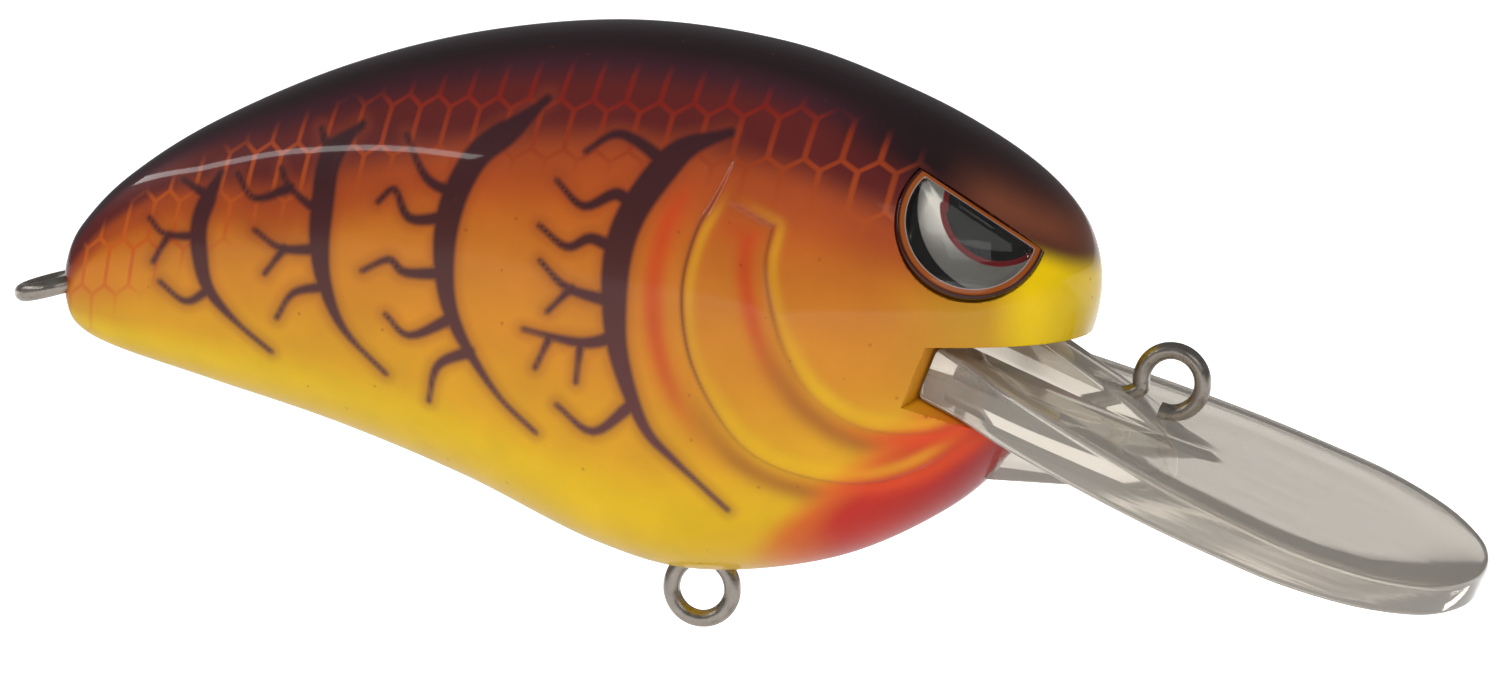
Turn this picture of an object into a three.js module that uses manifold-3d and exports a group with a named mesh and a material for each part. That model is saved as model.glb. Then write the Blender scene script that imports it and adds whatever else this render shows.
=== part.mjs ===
// A deep-diving crankbait: a hollow plastic body in two welded halves, a clear diving lip,
// three wire eyes, two moulded eyes, a fixed belly ballast and loose balls that rattle.
// Millimetres. +X points out of the nose, +Y to the lure's left, +Z up.
// The origin is the centre of the line tie, the eye that the fishing line is knotted to.
import * as THREE from "three";
import { mergeVertices } from "three/addons/utils/BufferGeometryUtils.js";
import Module from "manifold-3d";

const wasm = await Module();
wasm.setup();

// ---- Driving dimensions -------------------------------------------------------------

const BODY_LENGTH = 55;
const BODY_HEIGHT = 28.25;
const BODY_WIDTH = 16.6;
const NOSE_SETBACK = 3.9; // from the line tie's centre back to the nose
const BACK_RISE = 17.3; // from the line tie's centre up to the top of the back
const SECTION_POWER = 2.2; // 2 is an ellipse, more is squarer
const WALL = 1.3;

const WIRE = 0.9; // diameter of the stainless wire of all three eyes
const EYE_HOLE = 2.34; // bore of each wire eye
const LEG_GAP = 0.15; // between the two legs of a hook hanger
const WIRE_FIT = 0.2; // clearance all round a wire in its channel

const LIP_ANGLE = 21.8; // below level
const LIP_LENGTH = 29.7;
const LIP_WIDTH = 22.2;
const LIP_THICK = 2.9;
const LIP_TIP_THICK = 1.9;
const TIE_ALONG_LIP = 11.1; // from the tang's rear edge to under the line tie
const TIE_ABOVE_LIP = 2.3; // from the lip's top face to the line tie's centre
const WEB_WIDTH = 3.6; // the raised web that holds the line tie's shank
const KEEL_WIDTH = 2.6; // the rib under the lip
const MOUTH_ROOF = 2.3; // underside of the upper jaw above the line tie's centre
const SEAT_FIT = 0.2; // clearance all round the lip in the mouth
const PEG = 1.6; // diameter of the moulded pegs that locate the tang
const PEG_ALONG_LIP = 2.4;
const PEG_OFFSET = 2.5; // from the middle plane

const BELLY_EYE_SHARE = 0.62; // of the body's length, from the tail
const BELLY_EYE_DROP = 1.1; // centre of the belly eye below the belly
const BELLY_LEGS = 4.6; // length of the hanger's legs
const TAIL_EYE_RISE = 12.95; // centre of the tail eye above the lowest point of the belly
const TAIL_EYE_PROUD = 0.8; // centre of the tail eye behind the tail
const TAIL_EYE_TILT = 15; // the eye droops to the rear by this angle
const TAIL_LEGS = 5.2;
const FOOT = 1.3; // length of the bent foot at the end of each leg

const EYE_RADIUS = 3.85;
const BROW_RISE = 0.95; // from the eye's centre to the straight brow edge
const BROW_TILT = 26; // the brow drops this much towards the nose
const EYE_STATION = 0.778; // where the eye sits along the body's stations
const EYE_TURN = 38.5; // and how far round the section above the flank
const EYE_FIT = 0.15;
const FOIL_THICK = 0.3;
const DOME_EDGE = 0.5;
const DOME_CROWN = 0.75;
const SOCKET_DEPTH = 1.1;
const BOND_GAP = 0.05;

const KNOCKER = 5; // diameter of the heavy ball
const SHOT = 2.5; // diameter of the small balls in the tail
const SHOTS = 3;
const CLICKER = 3; // diameter of the ball in the head
const BALL_FIT = 0.3; // clearance all round a ball in its chamber
const KNOCKER_TRAVEL = 6;
const SHOT_TRAVEL = 3;
const CLICKER_TRAVEL = 4;
const BALLAST_DIAMETER = 4.4;
const BALLAST_LENGTH = 8;
const BALLAST_FIT = 0.2;
const PIN = 1.4; // diameter of the pins that line the halves up
const PIN_DEPTH = 1.4;
const PIN_FIT = 0.2;
const SEAM = 0.04; // the weld between the two halves of the body

// The side view, from the tail to the nose. Each station pairs a point of the back with one
// of the belly: [along, up] for the back, [along, up] for the belly, share of the width.
const TAIL_TIP = [0, 0.4726];
const NOSE_TIP = [1, 0.5363];
const STATIONS = [
  [0.0036, 0.5257, 0.0027, 0.423, 0.139],
  [0.018, 0.5823, 0.0145, 0.384, 0.229],
  [0.062, 0.6708, 0.053, 0.35, 0.373],
  [0.1436, 0.777, 0.1436, 0.3027, 0.566],
  [0.271, 0.892, 0.271, 0.2354, 0.759],
  [0.407, 0.968, 0.398, 0.1487, 0.904],
  [0.5545, 1, 0.525, 0.0407, 0.988],
  [0.698, 0.9717, 0.6255, 0, 1],
  [0.816, 0.897, 0.7527, 0.0354, 0.928],
  [0.902, 0.816, 0.8564, 0.131, 0.795],
  [0.96, 0.7327, 0.918, 0.239, 0.639],
  [0.991, 0.646, 0.9745, 0.3947, 0.373],
];

// Half the lip's width along it, from the tang's rear edge to the tip, as shares of both.
const LIP_OUTLINE = [
  [0, 0.414],
  [0.084, 0.505],
  [0.168, 0.649],
  [0.327, 0.829],
  [0.48, 0.95],
  [0.62, 1],
  [0.74, 1],
  [0.86, 0.856],
  [0.945, 0.6],
  [0.985, 0.33],
];

const BODY_STEPS = 39;
const BODY_SIDES = 32;
const WIRE_SIDES = 8;
const RING_STEP = 15; // degrees of a wire eye between two sections of its wire

// ---- Solids -------------------------------------------------------------------------

const toRadians = THREE.MathUtils.degToRad;

// A closed geometry as a solid that can be joined and cut.
function solid(geometry) {
  const bare = geometry.clone();
  bare.deleteAttribute("normal");
  bare.deleteAttribute("uv");
  const merged = mergeVertices(bare, 1e-4);
  const corners = Array.from(merged.index.array);
  const faces = [];
  for (let i = 0; i < corners.length; i += 3) {
    const [a, b, c] = corners.slice(i, i + 3);
    if (a !== b && b !== c && c !== a) faces.push(a, b, c);
  }
  const vertProperties = new Float32Array(merged.attributes.position.array);
  const made = (triVerts) =>
    new wasm.Manifold(new wasm.Mesh({ numProp: 3, vertProperties, triVerts }));
  const first = made(new Uint32Array(faces));
  if (first.volume() > 0) return first;
  return made(new Uint32Array(faces.reverse())); // the sweep ran the other way
}

function geometryOf(manifold) {
  const mesh = manifold.getMesh();
  const points = new Float32Array(mesh.numVert * 3);
  for (let i = 0; i < mesh.numVert; i++) {
    const from = i * mesh.numProp;
    points.set(mesh.vertProperties.subarray(from, from + 3), i * 3);
  }
  const geometry = new THREE.BufferGeometry();
  geometry.setAttribute("position", new THREE.BufferAttribute(points, 3));
  geometry.setIndex(new THREE.BufferAttribute(mesh.triVerts, 1));
  geometry.computeVertexNormals();
  return geometry;
}

// Leaves out the crumbs, thinner than the numbers' own precision, that a cut can leave.
const CRUMB = 1e-4;
function withoutCrumbs(manifold) {
  const bodies = manifold.decompose().filter((body) => Math.abs(body.volume()) > CRUMB);
  return joined(...bodies);
}

const joined = (first, ...rest) => rest.reduce((all, next) => all.add(next), first);
const cut = (first, ...tools) => tools.reduce((all, tool) => all.subtract(tool), first);

function box(size, at) {
  const geometry = new THREE.BoxGeometry(...size);
  return solid(geometry.translate(...at));
}

// A round bar between two points.
function bar(radius, from, to, sides = 24) {
  const start = new THREE.Vector3(...from);
  const along = new THREE.Vector3(...to).sub(start);
  const geometry = new THREE.CylinderGeometry(radius, radius, along.length(), sides);
  geometry.translate(0, along.length() / 2, 0);
  const up = new THREE.Vector3(0, 1, 0);
  const turn = new THREE.Quaternion().setFromUnitVectors(up, along.normalize());
  return solid(geometry.applyQuaternion(turn).translate(...from));
}

// A plate whose outline is drawn in the XZ plane, centred on the middle plane.
function sidePlate(outline, width) {
  const shape = new THREE.Shape(outline.map(([x, z]) => new THREE.Vector2(x, z)));
  const options = { depth: width, bevelEnabled: false };
  const geometry = new THREE.ExtrudeGeometry(shape, options);
  return solid(geometry.rotateX(Math.PI / 2).translate(0, width / 2, 0));
}

// ---- The body's surface -------------------------------------------------------------

const NOSE_X = -NOSE_SETBACK;
const TAIL_X = NOSE_X - BODY_LENGTH;
const BELLY_Z = BACK_RISE - BODY_HEIGHT;
const bodyX = (share) => TAIL_X + BODY_LENGTH * share;
const bodyZ = (share) => BELLY_Z + BODY_HEIGHT * share;

// One closed curve round the side view: the back to the nose, then the belly to the tail.
const outlinePoints = [
  TAIL_TIP,
  ...STATIONS.map(([x, z]) => [x, z]),
  NOSE_TIP,
  ...STATIONS.map(([, , x, z]) => [x, z]).reverse(),
];
const sideCurve = new THREE.CatmullRomCurve3(
  outlinePoints.map(([x, z]) => new THREE.Vector3(bodyX(x), 0, bodyZ(z))),
  true,
  "catmullrom",
);

// The half width, on the same stations, as a closed curve so that both ends are round.
const widths = STATIONS.map((station) => station[4]);
const widthCurve = new THREE.CatmullRomCurve3(
  [0, ...widths, 0, ...widths.map((w) => -w).reverse()].map(
    (w) => new THREE.Vector3(0, (w * BODY_WIDTH) / 2, 0),
  ),
  true,
  "catmullrom",
);

// Rounds a sine or cosine to the section's shape; a value that is zero stays exactly zero.
function power(value) {
  const size = Math.abs(value);
  return size < 1e-9 ? 0 : Math.sign(value) * size ** (2 / SECTION_POWER);
}

// A point of the skin: station from 0 at the tail to 1 at the nose, turn in radians from
// the left flank (0) over the back. Inset moves it inwards.
function skinPoint(station, turn, inset = 0) {
  const top = sideCurve.getPoint(station / 2);
  const bottom = sideCurve.getPoint((1 - station / 2) % 1);
  const half = top.clone().sub(bottom).multiplyScalar(0.5);
  const middle = top.add(bottom).multiplyScalar(0.5);
  const height = half.length();
  const width = widthCurve.getPoint(station / 2).y;
  if (height > 1e-6) half.multiplyScalar(Math.max(0, 1 - inset / height));
  middle.addScaledVector(half, power(Math.sin(turn)));
  middle.y = Math.max(0, width - inset) * power(Math.cos(turn));
  return middle;
}

function skinNormal(station, turn) {
  const step = 1e-3;
  const along = skinPoint(station + step, turn).sub(skinPoint(station - step, turn));
  const round = skinPoint(station, turn + step).sub(skinPoint(station, turn - step));
  return round.cross(along).normalize();
}

// The height of the belly at a place along the body.
function bellyAt(x) {
  let low = 0.3;
  let high = 0.95;
  for (let i = 0; i < 40; i++) {
    const middle = (low + high) / 2;
    if (skinPoint(middle, -Math.PI / 2).x < x) low = middle;
    else high = middle;
  }
  return skinPoint(low, -Math.PI / 2).z;
}

// A sphere's rows become stations and its columns go round the section.
function lofted(pointAt) {
  const geometry = new THREE.SphereGeometry(1, BODY_SIDES, BODY_STEPS);
  const place = geometry.attributes.position;
  for (let i = 0; i < place.count; i++) {
    const row = Math.floor(i / (BODY_SIDES + 1)) / BODY_STEPS;
    const turn = ((i % (BODY_SIDES + 1)) / BODY_SIDES) * 2 * Math.PI;
    const point = pointAt(row, turn);
    place.setXYZ(i, point.x, point.y, point.z);
  }
  return solid(geometry);
}

const CAVITY_START = 0.26;
const CAVITY_END = 0.9;
const outerBody = lofted((row, turn) => skinPoint(row, turn));
const cavity = lofted((row, turn) => {
  const station = CAVITY_START + (CAVITY_END - CAVITY_START) * row;
  const fill = Math.sqrt(1 - (2 * row - 1) ** 8);
  const edge = skinPoint(station, turn, WALL);
  const middle = skinPoint(station, 0, 100);
  return middle.lerp(edge, fill);
});

// ---- The lip's own frame ------------------------------------------------------------

const lipCos = Math.cos(toRadians(LIP_ANGLE));
const lipSin = Math.sin(toRadians(LIP_ANGLE));

// A place along the lip and above its top face, as [x, z]; 0, 0 is the tang's rear edge.
function onLip(along, above) {
  const u = along - TIE_ALONG_LIP;
  const w = above - TIE_ABOVE_LIP;
  return [u * lipCos + w * lipSin, w * lipCos - u * lipSin];
}

const lipThickness = (along) =>
  LIP_THICK + ((LIP_TIP_THICK - LIP_THICK) * along) / LIP_LENGTH;

// Turns a solid drawn with the lip flat (x along, z up from its top face) into place.
function placedOnLip(geometry) {
  const [x, z] = onLip(0, 0);
  geometry.rotateY(toRadians(LIP_ANGLE));
  return geometry.translate(x, 0, z);
}

function blade() {
  const half = LIP_WIDTH / 2;
  const edge = LIP_OUTLINE.map(([u, v]) => new THREE.Vector2(u * LIP_LENGTH, v * half));
  const tip = new THREE.Vector2(LIP_LENGTH, 0);
  const mirrored = edge.map((p) => new THREE.Vector2(p.x, -p.y)).reverse();
  const shape = new THREE.Shape();
  shape.moveTo(edge[0].x, edge[0].y);
  shape.splineThru([...edge.slice(1), tip, ...mirrored]);
  const options = { depth: 1, bevelEnabled: false, curveSegments: 3 };
  const geometry = new THREE.ExtrudeGeometry(shape, options);
  const place = geometry.attributes.position;
  for (let i = 0; i < place.count; i++) {
    const depth = place.getZ(i) > 0.5 ? 0 : -lipThickness(place.getX(i));
    place.setZ(i, depth);
  }
  return solid(placedOnLip(geometry));
}

const WEB_END = 13; // where the web runs out on the lip's top face
const KEEL_START = 1.6;
const KEEL_END = 15;
const KEEL_DEPTH = 3.6;

// The web fills the wedge between the lip and the upper jaw, then slopes to the blade.
const webOutline = [
  onLip(0.6, -1),
  onLip(0.6, 0.05),
  [onLip(1.2, 0)[0], MOUTH_ROOF - SEAT_FIT],
  [NOSE_X - 2.6, MOUTH_ROOF - SEAT_FIT],
  onLip(8.3, 1.1),
  onLip(WEB_END - 3, 0.7),
  onLip(WEB_END, -0.2),
  onLip(WEB_END - 1, -1),
];
const keelOutline = [
  onLip(KEEL_START, -LIP_THICK + 1),
  onLip(KEEL_END, -lipThickness(KEEL_END) + 0.3),
  onLip(KEEL_START + 2, -LIP_THICK - KEEL_DEPTH),
  onLip(KEEL_START, -LIP_THICK - KEEL_DEPTH + 0.6),
];

// ---- Wire eyes ----------------------------------------------------------------------

// A curve through given points, sampled exactly at them.
class Route extends THREE.Curve {
  constructor(points) {
    super();
    this.points = points.map((point) => new THREE.Vector3(...point));
  }
  getPoint(share, target = new THREE.Vector3()) {
    const place = share * (this.points.length - 1);
    const before = Math.min(Math.floor(place + 1e-9), this.points.length - 2);
    return target.lerpVectors(this.points[before], this.points[before + 1], place - before);
  }
  getPointAt(share, target) {
    return this.getPoint(share, target);
  }
  getTangentAt(share, target = new THREE.Vector3()) {
    const last = this.points.length - 1;
    const index = Math.round(share * last);
    const next = this.points[Math.min(index + 1, last)];
    return target.copy(next).sub(this.points[Math.max(index - 1, 0)]).normalize();
  }
}

// A wire of the given radius along a list of points, with flats facing in and out.
function wire(points, radius) {
  const corners = [];
  for (let i = 0; i < WIRE_SIDES; i++) {
    const turn = ((i + 0.5) / WIRE_SIDES) * 2 * Math.PI;
    corners.push(new THREE.Vector2(radius * Math.cos(turn), radius * Math.sin(turn)));
  }
  const options = { steps: points.length - 1, extrudePath: new Route(points) };
  const shape = new THREE.Shape(corners);
  return solid(new THREE.ExtrudeGeometry(shape, { ...options, bevelEnabled: false }));
}

const RING_RADIUS = (EYE_HOLE + WIRE) / 2;
const ringPoint = (degrees) => [
  RING_RADIUS * Math.cos(toRadians(degrees)),
  RING_RADIUS * Math.sin(toRadians(degrees)),
];

// Points of an arc of the ring, with a flat of the wire centred on each whole quarter.
function ringArc(from, to) {
  const steps = Math.round(Math.abs(to - from) / RING_STEP);
  return Array.from({ length: steps + 1 }, (_, i) =>
    ringPoint(from + ((to - from) * i) / steps),
  );
}

// A hook hanger lying flat: the ring round the origin, two legs along +x, feet turned out.
function hangerRoute(legs) {
  const apart = (WIRE + LEG_GAP) / 2;
  const open = RING_STEP * 2.5; // half the angle where the ring opens into the legs
  const neck = RING_RADIUS + 0.6;
  const foot = [
    [legs - 0.1, apart + FOOT],
    [legs - 0.05, apart + FOOT * 0.6],
    [legs - 0.15, apart + 0.25],
    [legs - 0.45, apart],
  ];
  const side = [...foot, [(legs + neck) / 2, apart], [neck, apart]];
  const mirrored = side.map(([x, y]) => [x, -y]).reverse();
  return [...side, ...ringArc(open, 360 - open), ...mirrored];
}

const bellyEyeX = bodyX(BELLY_EYE_SHARE);
const bellyEyeZ = bellyAt(bellyEyeX) - BELLY_EYE_DROP;
const tailEyeX = TAIL_X - TAIL_EYE_PROUD;
const tailEyeZ = BELLY_Z + TAIL_EYE_RISE;

// The belly hanger stands in the middle plane, legs up.
const bellyRoute = hangerRoute(BELLY_LEGS + RING_RADIUS).map(([x, y]) => [
  bellyEyeX + y,
  0,
  bellyEyeZ + x,
]);

// The tail hanger lies across the middle plane, legs forward. It is drawn level, then droops
// to the rear, so that the flats of its wire keep facing in and out of the ring.
const tailRoute = hangerRoute(TAIL_LEGS + RING_RADIUS).map(([x, y]) => [x, y, 0]);
const drooped = (level) =>
  level.rotate([0, -TAIL_EYE_TILT, 0]).translate([tailEyeX, 0, tailEyeZ]);

// The line tie stands in the middle plane; its shank runs back through the web and tang.
const tieShank = [
  onLip(1.6, -LIP_THICK / 2),
  onLip(4, -LIP_THICK / 2),
  onLip(6, -LIP_THICK / 2 + 0.1),
  onLip(7.2, -0.75),
  onLip(8.1, -0.1),
  onLip(8.85, 0.5),
  onLip(9.35, 0.85),
  onLip(9.7, 1.25),
];
const TIE_START = 187.5;
const TIE_END = -112.5;
const tieRoute = [...tieShank, ...ringArc(TIE_START, TIE_END)].map(([x, z]) => [x, 0, z]);

// ---- Chambers, ballast and bosses inside the body -----------------------------------

const knockerX = bodyX(0.47);
const knockerZ = bodyZ(0.46);
const shotX = bodyX(0.245);
const shotZ = bodyZ(0.55);
const clickerX = bodyX(0.79);
const clickerZ = bodyZ(0.74);
const ballastX = bodyX(0.765);
const ballastZ = bellyAt(ballastX) + WALL + 1 + BALLAST_DIAMETER / 2;

const knockerBore = KNOCKER / 2 + BALL_FIT;
const shotBore = SHOT / 2 + BALL_FIT;
const clickerBore = CLICKER / 2 + BALL_FIT;
const ballastBore = BALLAST_DIAMETER / 2 + BALLAST_FIT;
const knockerHalf = (KNOCKER + KNOCKER_TRAVEL) / 2 + BALL_FIT;
const SHOT_GAP = 0.1; // between neighbours in the row
const shotHalf = (SHOTS * SHOT + (SHOTS - 1) * SHOT_GAP + SHOT_TRAVEL) / 2 + BALL_FIT;
const clickerHalf = (CLICKER + CLICKER_TRAVEL) / 2 + BALL_FIT;
const ballastHalf = BALLAST_LENGTH / 2 + BALLAST_FIT;

const alongX = (radius, x, z, half) => bar(radius, [x - half, 0, z], [x + half, 0, z]);
const alongY = (radius, x, z, half) => bar(radius, [x, -half, z], [x, half, z]);

const bores = [
  alongX(knockerBore, knockerX, knockerZ, knockerHalf),
  alongX(shotBore, shotX, shotZ, shotHalf),
  alongY(clickerBore, clickerX, clickerZ, clickerHalf),
  alongX(ballastBore, ballastX, ballastZ, ballastHalf),
];
const chamberWalls = [
  alongX(knockerBore + WALL, knockerX, knockerZ, knockerHalf + WALL),
  alongX(shotBore + WALL, shotX, shotZ, shotHalf + WALL),
  alongY(clickerBore + WALL, clickerX, clickerZ, clickerHalf + WALL),
  alongX(ballastBore + WALL, ballastX, ballastZ, ballastHalf + WALL),
];

// Ribs across the body tie the chambers to the skin.
const RIB = 1.2;
const rib = (x) => box([RIB, BODY_WIDTH * 2, BODY_HEIGHT * 2], [x, 0, BELLY_Z]);
const ribs = [
  rib(shotX),
  rib(knockerX - knockerHalf + WALL),
  rib(knockerX + knockerHalf - WALL),
  rib(clickerX),
];

// Pins on the left half enter holes in the right half, inside posts that cross the body.
const pinPlaces = [
  [bodyX(0.38), bodyZ(0.8)],
  [bodyX(0.62), bodyZ(0.8)],
  [bodyX(0.36), bodyZ(0.3)],
];
const posts = pinPlaces.map(([x, z]) => alongY(PIN / 2 + WALL, x, z, BODY_WIDTH));
const pins = pinPlaces.map(([x, z]) => bar(PIN / 2, [x, -PIN_DEPTH, z], [x, WALL, z]));
const pinHoles = pinPlaces.map(([x, z]) =>
  bar(PIN / 2 + PIN_FIT, [x, -PIN_DEPTH - PIN_FIT, z], [x, WALL, z]),
);

// The belly hanger's legs stand in a block of solid plastic.
const blockHeight = BELLY_LEGS + RING_RADIUS + WIRE + WALL;
const hangerBlock = box(
  [2 * (FOOT + WIRE + WALL), 2 * (WIRE + WALL), blockHeight],
  [bellyEyeX, 0, bellyEyeZ + blockHeight / 2],
);

// The mouth is open from side to side: the lip's underside, its rear edge and a level roof.
function mouthOutline(grow) {
  const fit = SEAT_FIT + grow;
  const ahead = TIE_ALONG_LIP + BODY_LENGTH;
  const rear = onLip(-fit, fit);
  return [
    onLip(-fit, -LIP_THICK - fit),
    rear,
    [rear[0], MOUTH_ROOF + grow],
    [BODY_LENGTH, MOUTH_ROOF + grow],
    onLip(ahead, -lipThickness(ahead) - fit),
  ];
}
const mouth = sidePlate(mouthOutline(0), BODY_WIDTH * 2);
const mouthWalls = sidePlate(mouthOutline(WALL), BODY_WIDTH * 2);

// The lower jaw is slotted for the lip's keel and carries a peg for each side of the tang.
const [keelRearX, keelRearZ] = onLip(KEEL_START, -LIP_THICK - KEEL_DEPTH);
const keelSlot = box(
  [TIE_ALONG_LIP, KEEL_WIDTH + 2 * SEAT_FIT, 2 * KEEL_DEPTH + LIP_THICK],
  [keelRearX - SEAT_FIT + TIE_ALONG_LIP / 2, 0, keelRearZ + KEEL_DEPTH / 2],
);
const keelWalls = box(
  [BODY_LENGTH, KEEL_WIDTH + 2 * WALL, BODY_HEIGHT / 2],
  [keelRearX - SEAT_FIT - WALL + BODY_LENGTH / 2, 0, keelRearZ],
);
function peg(side, radius, top) {
  const [lowX, lowZ] = onLip(PEG_ALONG_LIP, -LIP_THICK - 1);
  const [highX, highZ] = onLip(PEG_ALONG_LIP, top);
  return bar(radius, [lowX, side * PEG_OFFSET, lowZ], [highX, side * PEG_OFFSET, highZ], 16);
}

// ---- Moulded eyes -------------------------------------------------------------------

// A disc cut off by the straight brow, facing +z, nose side towards +x.
function eyeShape(radius, brow) {
  const half = Math.acos(brow / radius);
  const shape = new THREE.Shape();
  shape.absarc(0, 0, radius, Math.PI / 2 - half, Math.PI / 2 + half, true);
  shape.closePath();
  return shape;
}

function eyePlate(grow, depth, from) {
  const shape = eyeShape(EYE_RADIUS + grow, BROW_RISE + grow);
  const options = { depth, bevelEnabled: false, curveSegments: 32 };
  return new THREE.ExtrudeGeometry(shape, options).translate(0, 0, from);
}

// Seats an eye piece: z out of the skin, the brow sloping down to the nose.
function seatedEye(geometry, side) {
  const turn = toRadians(EYE_TURN);
  const at = skinPoint(EYE_STATION, turn);
  const out = skinNormal(EYE_STATION, turn);
  const nose = new THREE.Vector3(1, 0, 0);
  const along = nose.addScaledVector(out, -nose.dot(out)).normalize();
  const up = new THREE.Vector3().crossVectors(out, along);
  if (up.z < 0) up.negate();
  const basis = new THREE.Matrix4().makeBasis(along, up, out);
  geometry.rotateZ(-toRadians(BROW_TILT)).applyMatrix4(basis);
  geometry.translate(at.x, at.y, at.z);
  if (side < 0) geometry.scale(1, -1, 1);
  return solid(geometry);
}

const FOIL_FLOOR = -SOCKET_DEPTH + BOND_GAP;
const DOME_FLOOR = FOIL_FLOOR + FOIL_THICK + BOND_GAP;
const eyeFoil = (side) => seatedEye(eyePlate(0, FOIL_THICK, FOIL_FLOOR), side);

// The dome is a plate whose top is part of a ball.
function eyeDome(side) {
  const radius = (EYE_RADIUS ** 2 + DOME_CROWN ** 2) / (2 * DOME_CROWN);
  const top = DOME_FLOOR + DOME_EDGE + DOME_CROWN;
  const ball = new THREE.SphereGeometry(radius, 72, 72).rotateX(Math.PI / 2);
  const plate = solid(eyePlate(0, DOME_EDGE + DOME_CROWN, DOME_FLOOR));
  const lens = plate.intersect(solid(ball.translate(0, 0, top - radius)));
  return seatedEye(geometryOf(lens), side);
}

const socket = (side) =>
  seatedEye(eyePlate(EYE_FIT, SOCKET_DEPTH * 4, -SOCKET_DEPTH), side);
const socketFloor = (side) =>
  seatedEye(eyePlate(WALL, SOCKET_DEPTH * 4, -SOCKET_DEPTH - WALL), side);

// ---- The two halves of the body -----------------------------------------------------

const hollow = cut(
  cavity,
  ...chamberWalls,
  ...ribs,
  ...posts,
  hangerBlock,
  mouthWalls,
  keelWalls,
  socketFloor(1),
  socketFloor(-1),
);
// The channel for a hanger, made in two lengths because its legs' channels run together.
function channel(route) {
  const radius = WIRE / 2 + WIRE_FIT;
  const middle = Math.floor(route.length / 2);
  const first = wire(route.slice(0, middle + 2), radius);
  return first.add(wire(route.slice(middle - 1), radius));
}

// One half of the body: side is 1 on the left, -1 on the right.
function shellHalf(side) {
  const room = [BODY_LENGTH * 4, BODY_WIDTH * 2, BODY_HEIGHT * 4];
  const half = outerBody.intersect(box(room, [0, side * (BODY_WIDTH + SEAM / 2), 0]));
  const opened = cut(
    half,
    hollow,
    ...bores,
    mouth,
    keelSlot,
    socket(side),
    channel(bellyRoute),
    drooped(channel(tailRoute)),
  );
  return withoutCrumbs(joined(opened, peg(side, PEG / 2, -LIP_THICK / 3)));
}

const leftShell = joined(shellHalf(1), ...pins);
const rightShell = cut(shellHalf(-1), ...pinHoles);

const lip = cut(
  joined(blade(), sidePlate(webOutline, WEB_WIDTH), sidePlate(keelOutline, KEEL_WIDTH)),
  wire(tieRoute.slice(0, tieShank.length + 1), WIRE / 2 + WIRE_FIT),
  peg(1, PEG / 2 + SEAT_FIT, LIP_THICK),
  peg(-1, PEG / 2 + SEAT_FIT, LIP_THICK),
);

// ---- Assembly -----------------------------------------------------------------------

const finishes = {
  paint: { color: 0xc8791f, roughness: 0.22, metalness: 0 },
  clear: { color: 0xd9d3c8, roughness: 0.08, metalness: 0, transparent: true, opacity: 0.4 },
  stainless: { color: 0x9a9188, roughness: 0.3, metalness: 1 },
  foil: { color: 0xc9c7c1, roughness: 0.2, metalness: 0.9 },
  lens: { color: 0xf4ead8, roughness: 0.05, metalness: 0, transparent: true, opacity: 0.3 },
  lead: { color: 0x5c5f63, roughness: 0.55, metalness: 0.9 },
  tungsten: { color: 0x6f7073, roughness: 0.35, metalness: 1 },
  steel: { color: 0xb5b8bb, roughness: 0.15, metalness: 1 },
};

const lure = new THREE.Group();
lure.name = "crankbait";

function addPiece(name, geometry, finish, at = [0, 0, 0]) {
  const mesh = new THREE.Mesh(geometry, new THREE.MeshStandardMaterial(finishes[finish]));
  mesh.name = name;
  mesh.position.set(...at);
  lure.add(mesh);
}

const ball = (diameter) => new THREE.SphereGeometry(diameter / 2, 16, 10);

addPiece("body_shell_left", geometryOf(leftShell), "paint");
addPiece("body_shell_right", geometryOf(rightShell), "paint");
addPiece("diving_lip", geometryOf(lip), "clear");
addPiece("line_tie", geometryOf(wire(tieRoute, WIRE / 2)), "stainless");
addPiece("belly_hook_hanger", geometryOf(wire(bellyRoute, WIRE / 2)), "stainless");
addPiece("tail_hook_hanger", geometryOf(drooped(wire(tailRoute, WIRE / 2))), "stainless");
for (const [name, side] of [
  ["left", 1],
  ["right", -1],
]) {
  addPiece(`eye_foil_${name}`, geometryOf(eyeFoil(side)), "foil");
  addPiece(`eye_dome_${name}`, geometryOf(eyeDome(side)), "lens");
}
const ballastBar = alongX(BALLAST_DIAMETER / 2, 0, 0, BALLAST_LENGTH / 2);
addPiece("belly_ballast", geometryOf(ballastBar), "lead", [ballastX, 0, ballastZ]);
addPiece("knocker_ball", ball(KNOCKER), "tungsten", [knockerX, 0, knockerZ]);
addPiece("head_rattle_ball", ball(CLICKER), "steel", [clickerX, 0, clickerZ]);
for (let i = 0; i < SHOTS; i++) {
  const x = shotX + (i - (SHOTS - 1) / 2) * (SHOT + SHOT_GAP);
  addPiece(`tail_rattle_ball_${i + 1}`, ball(SHOT), "steel", [x, 0, shotZ]);
}

export default lure;
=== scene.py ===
"""A deep-diving crankbait: painted body, clear lip, wire eyes and moulded eyes, in a white studio.

Lengths are in millimetres until a mesh is finished; Blender's own units are metres.
+X points out of the nose, +Y to the lure's left, +Z up, and the origin is the line tie.
"""

import logging
import math
from dataclasses import dataclass, field
from enum import Enum

import bpy
import numpy as np
from mathutils import Matrix, Vector

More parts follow.
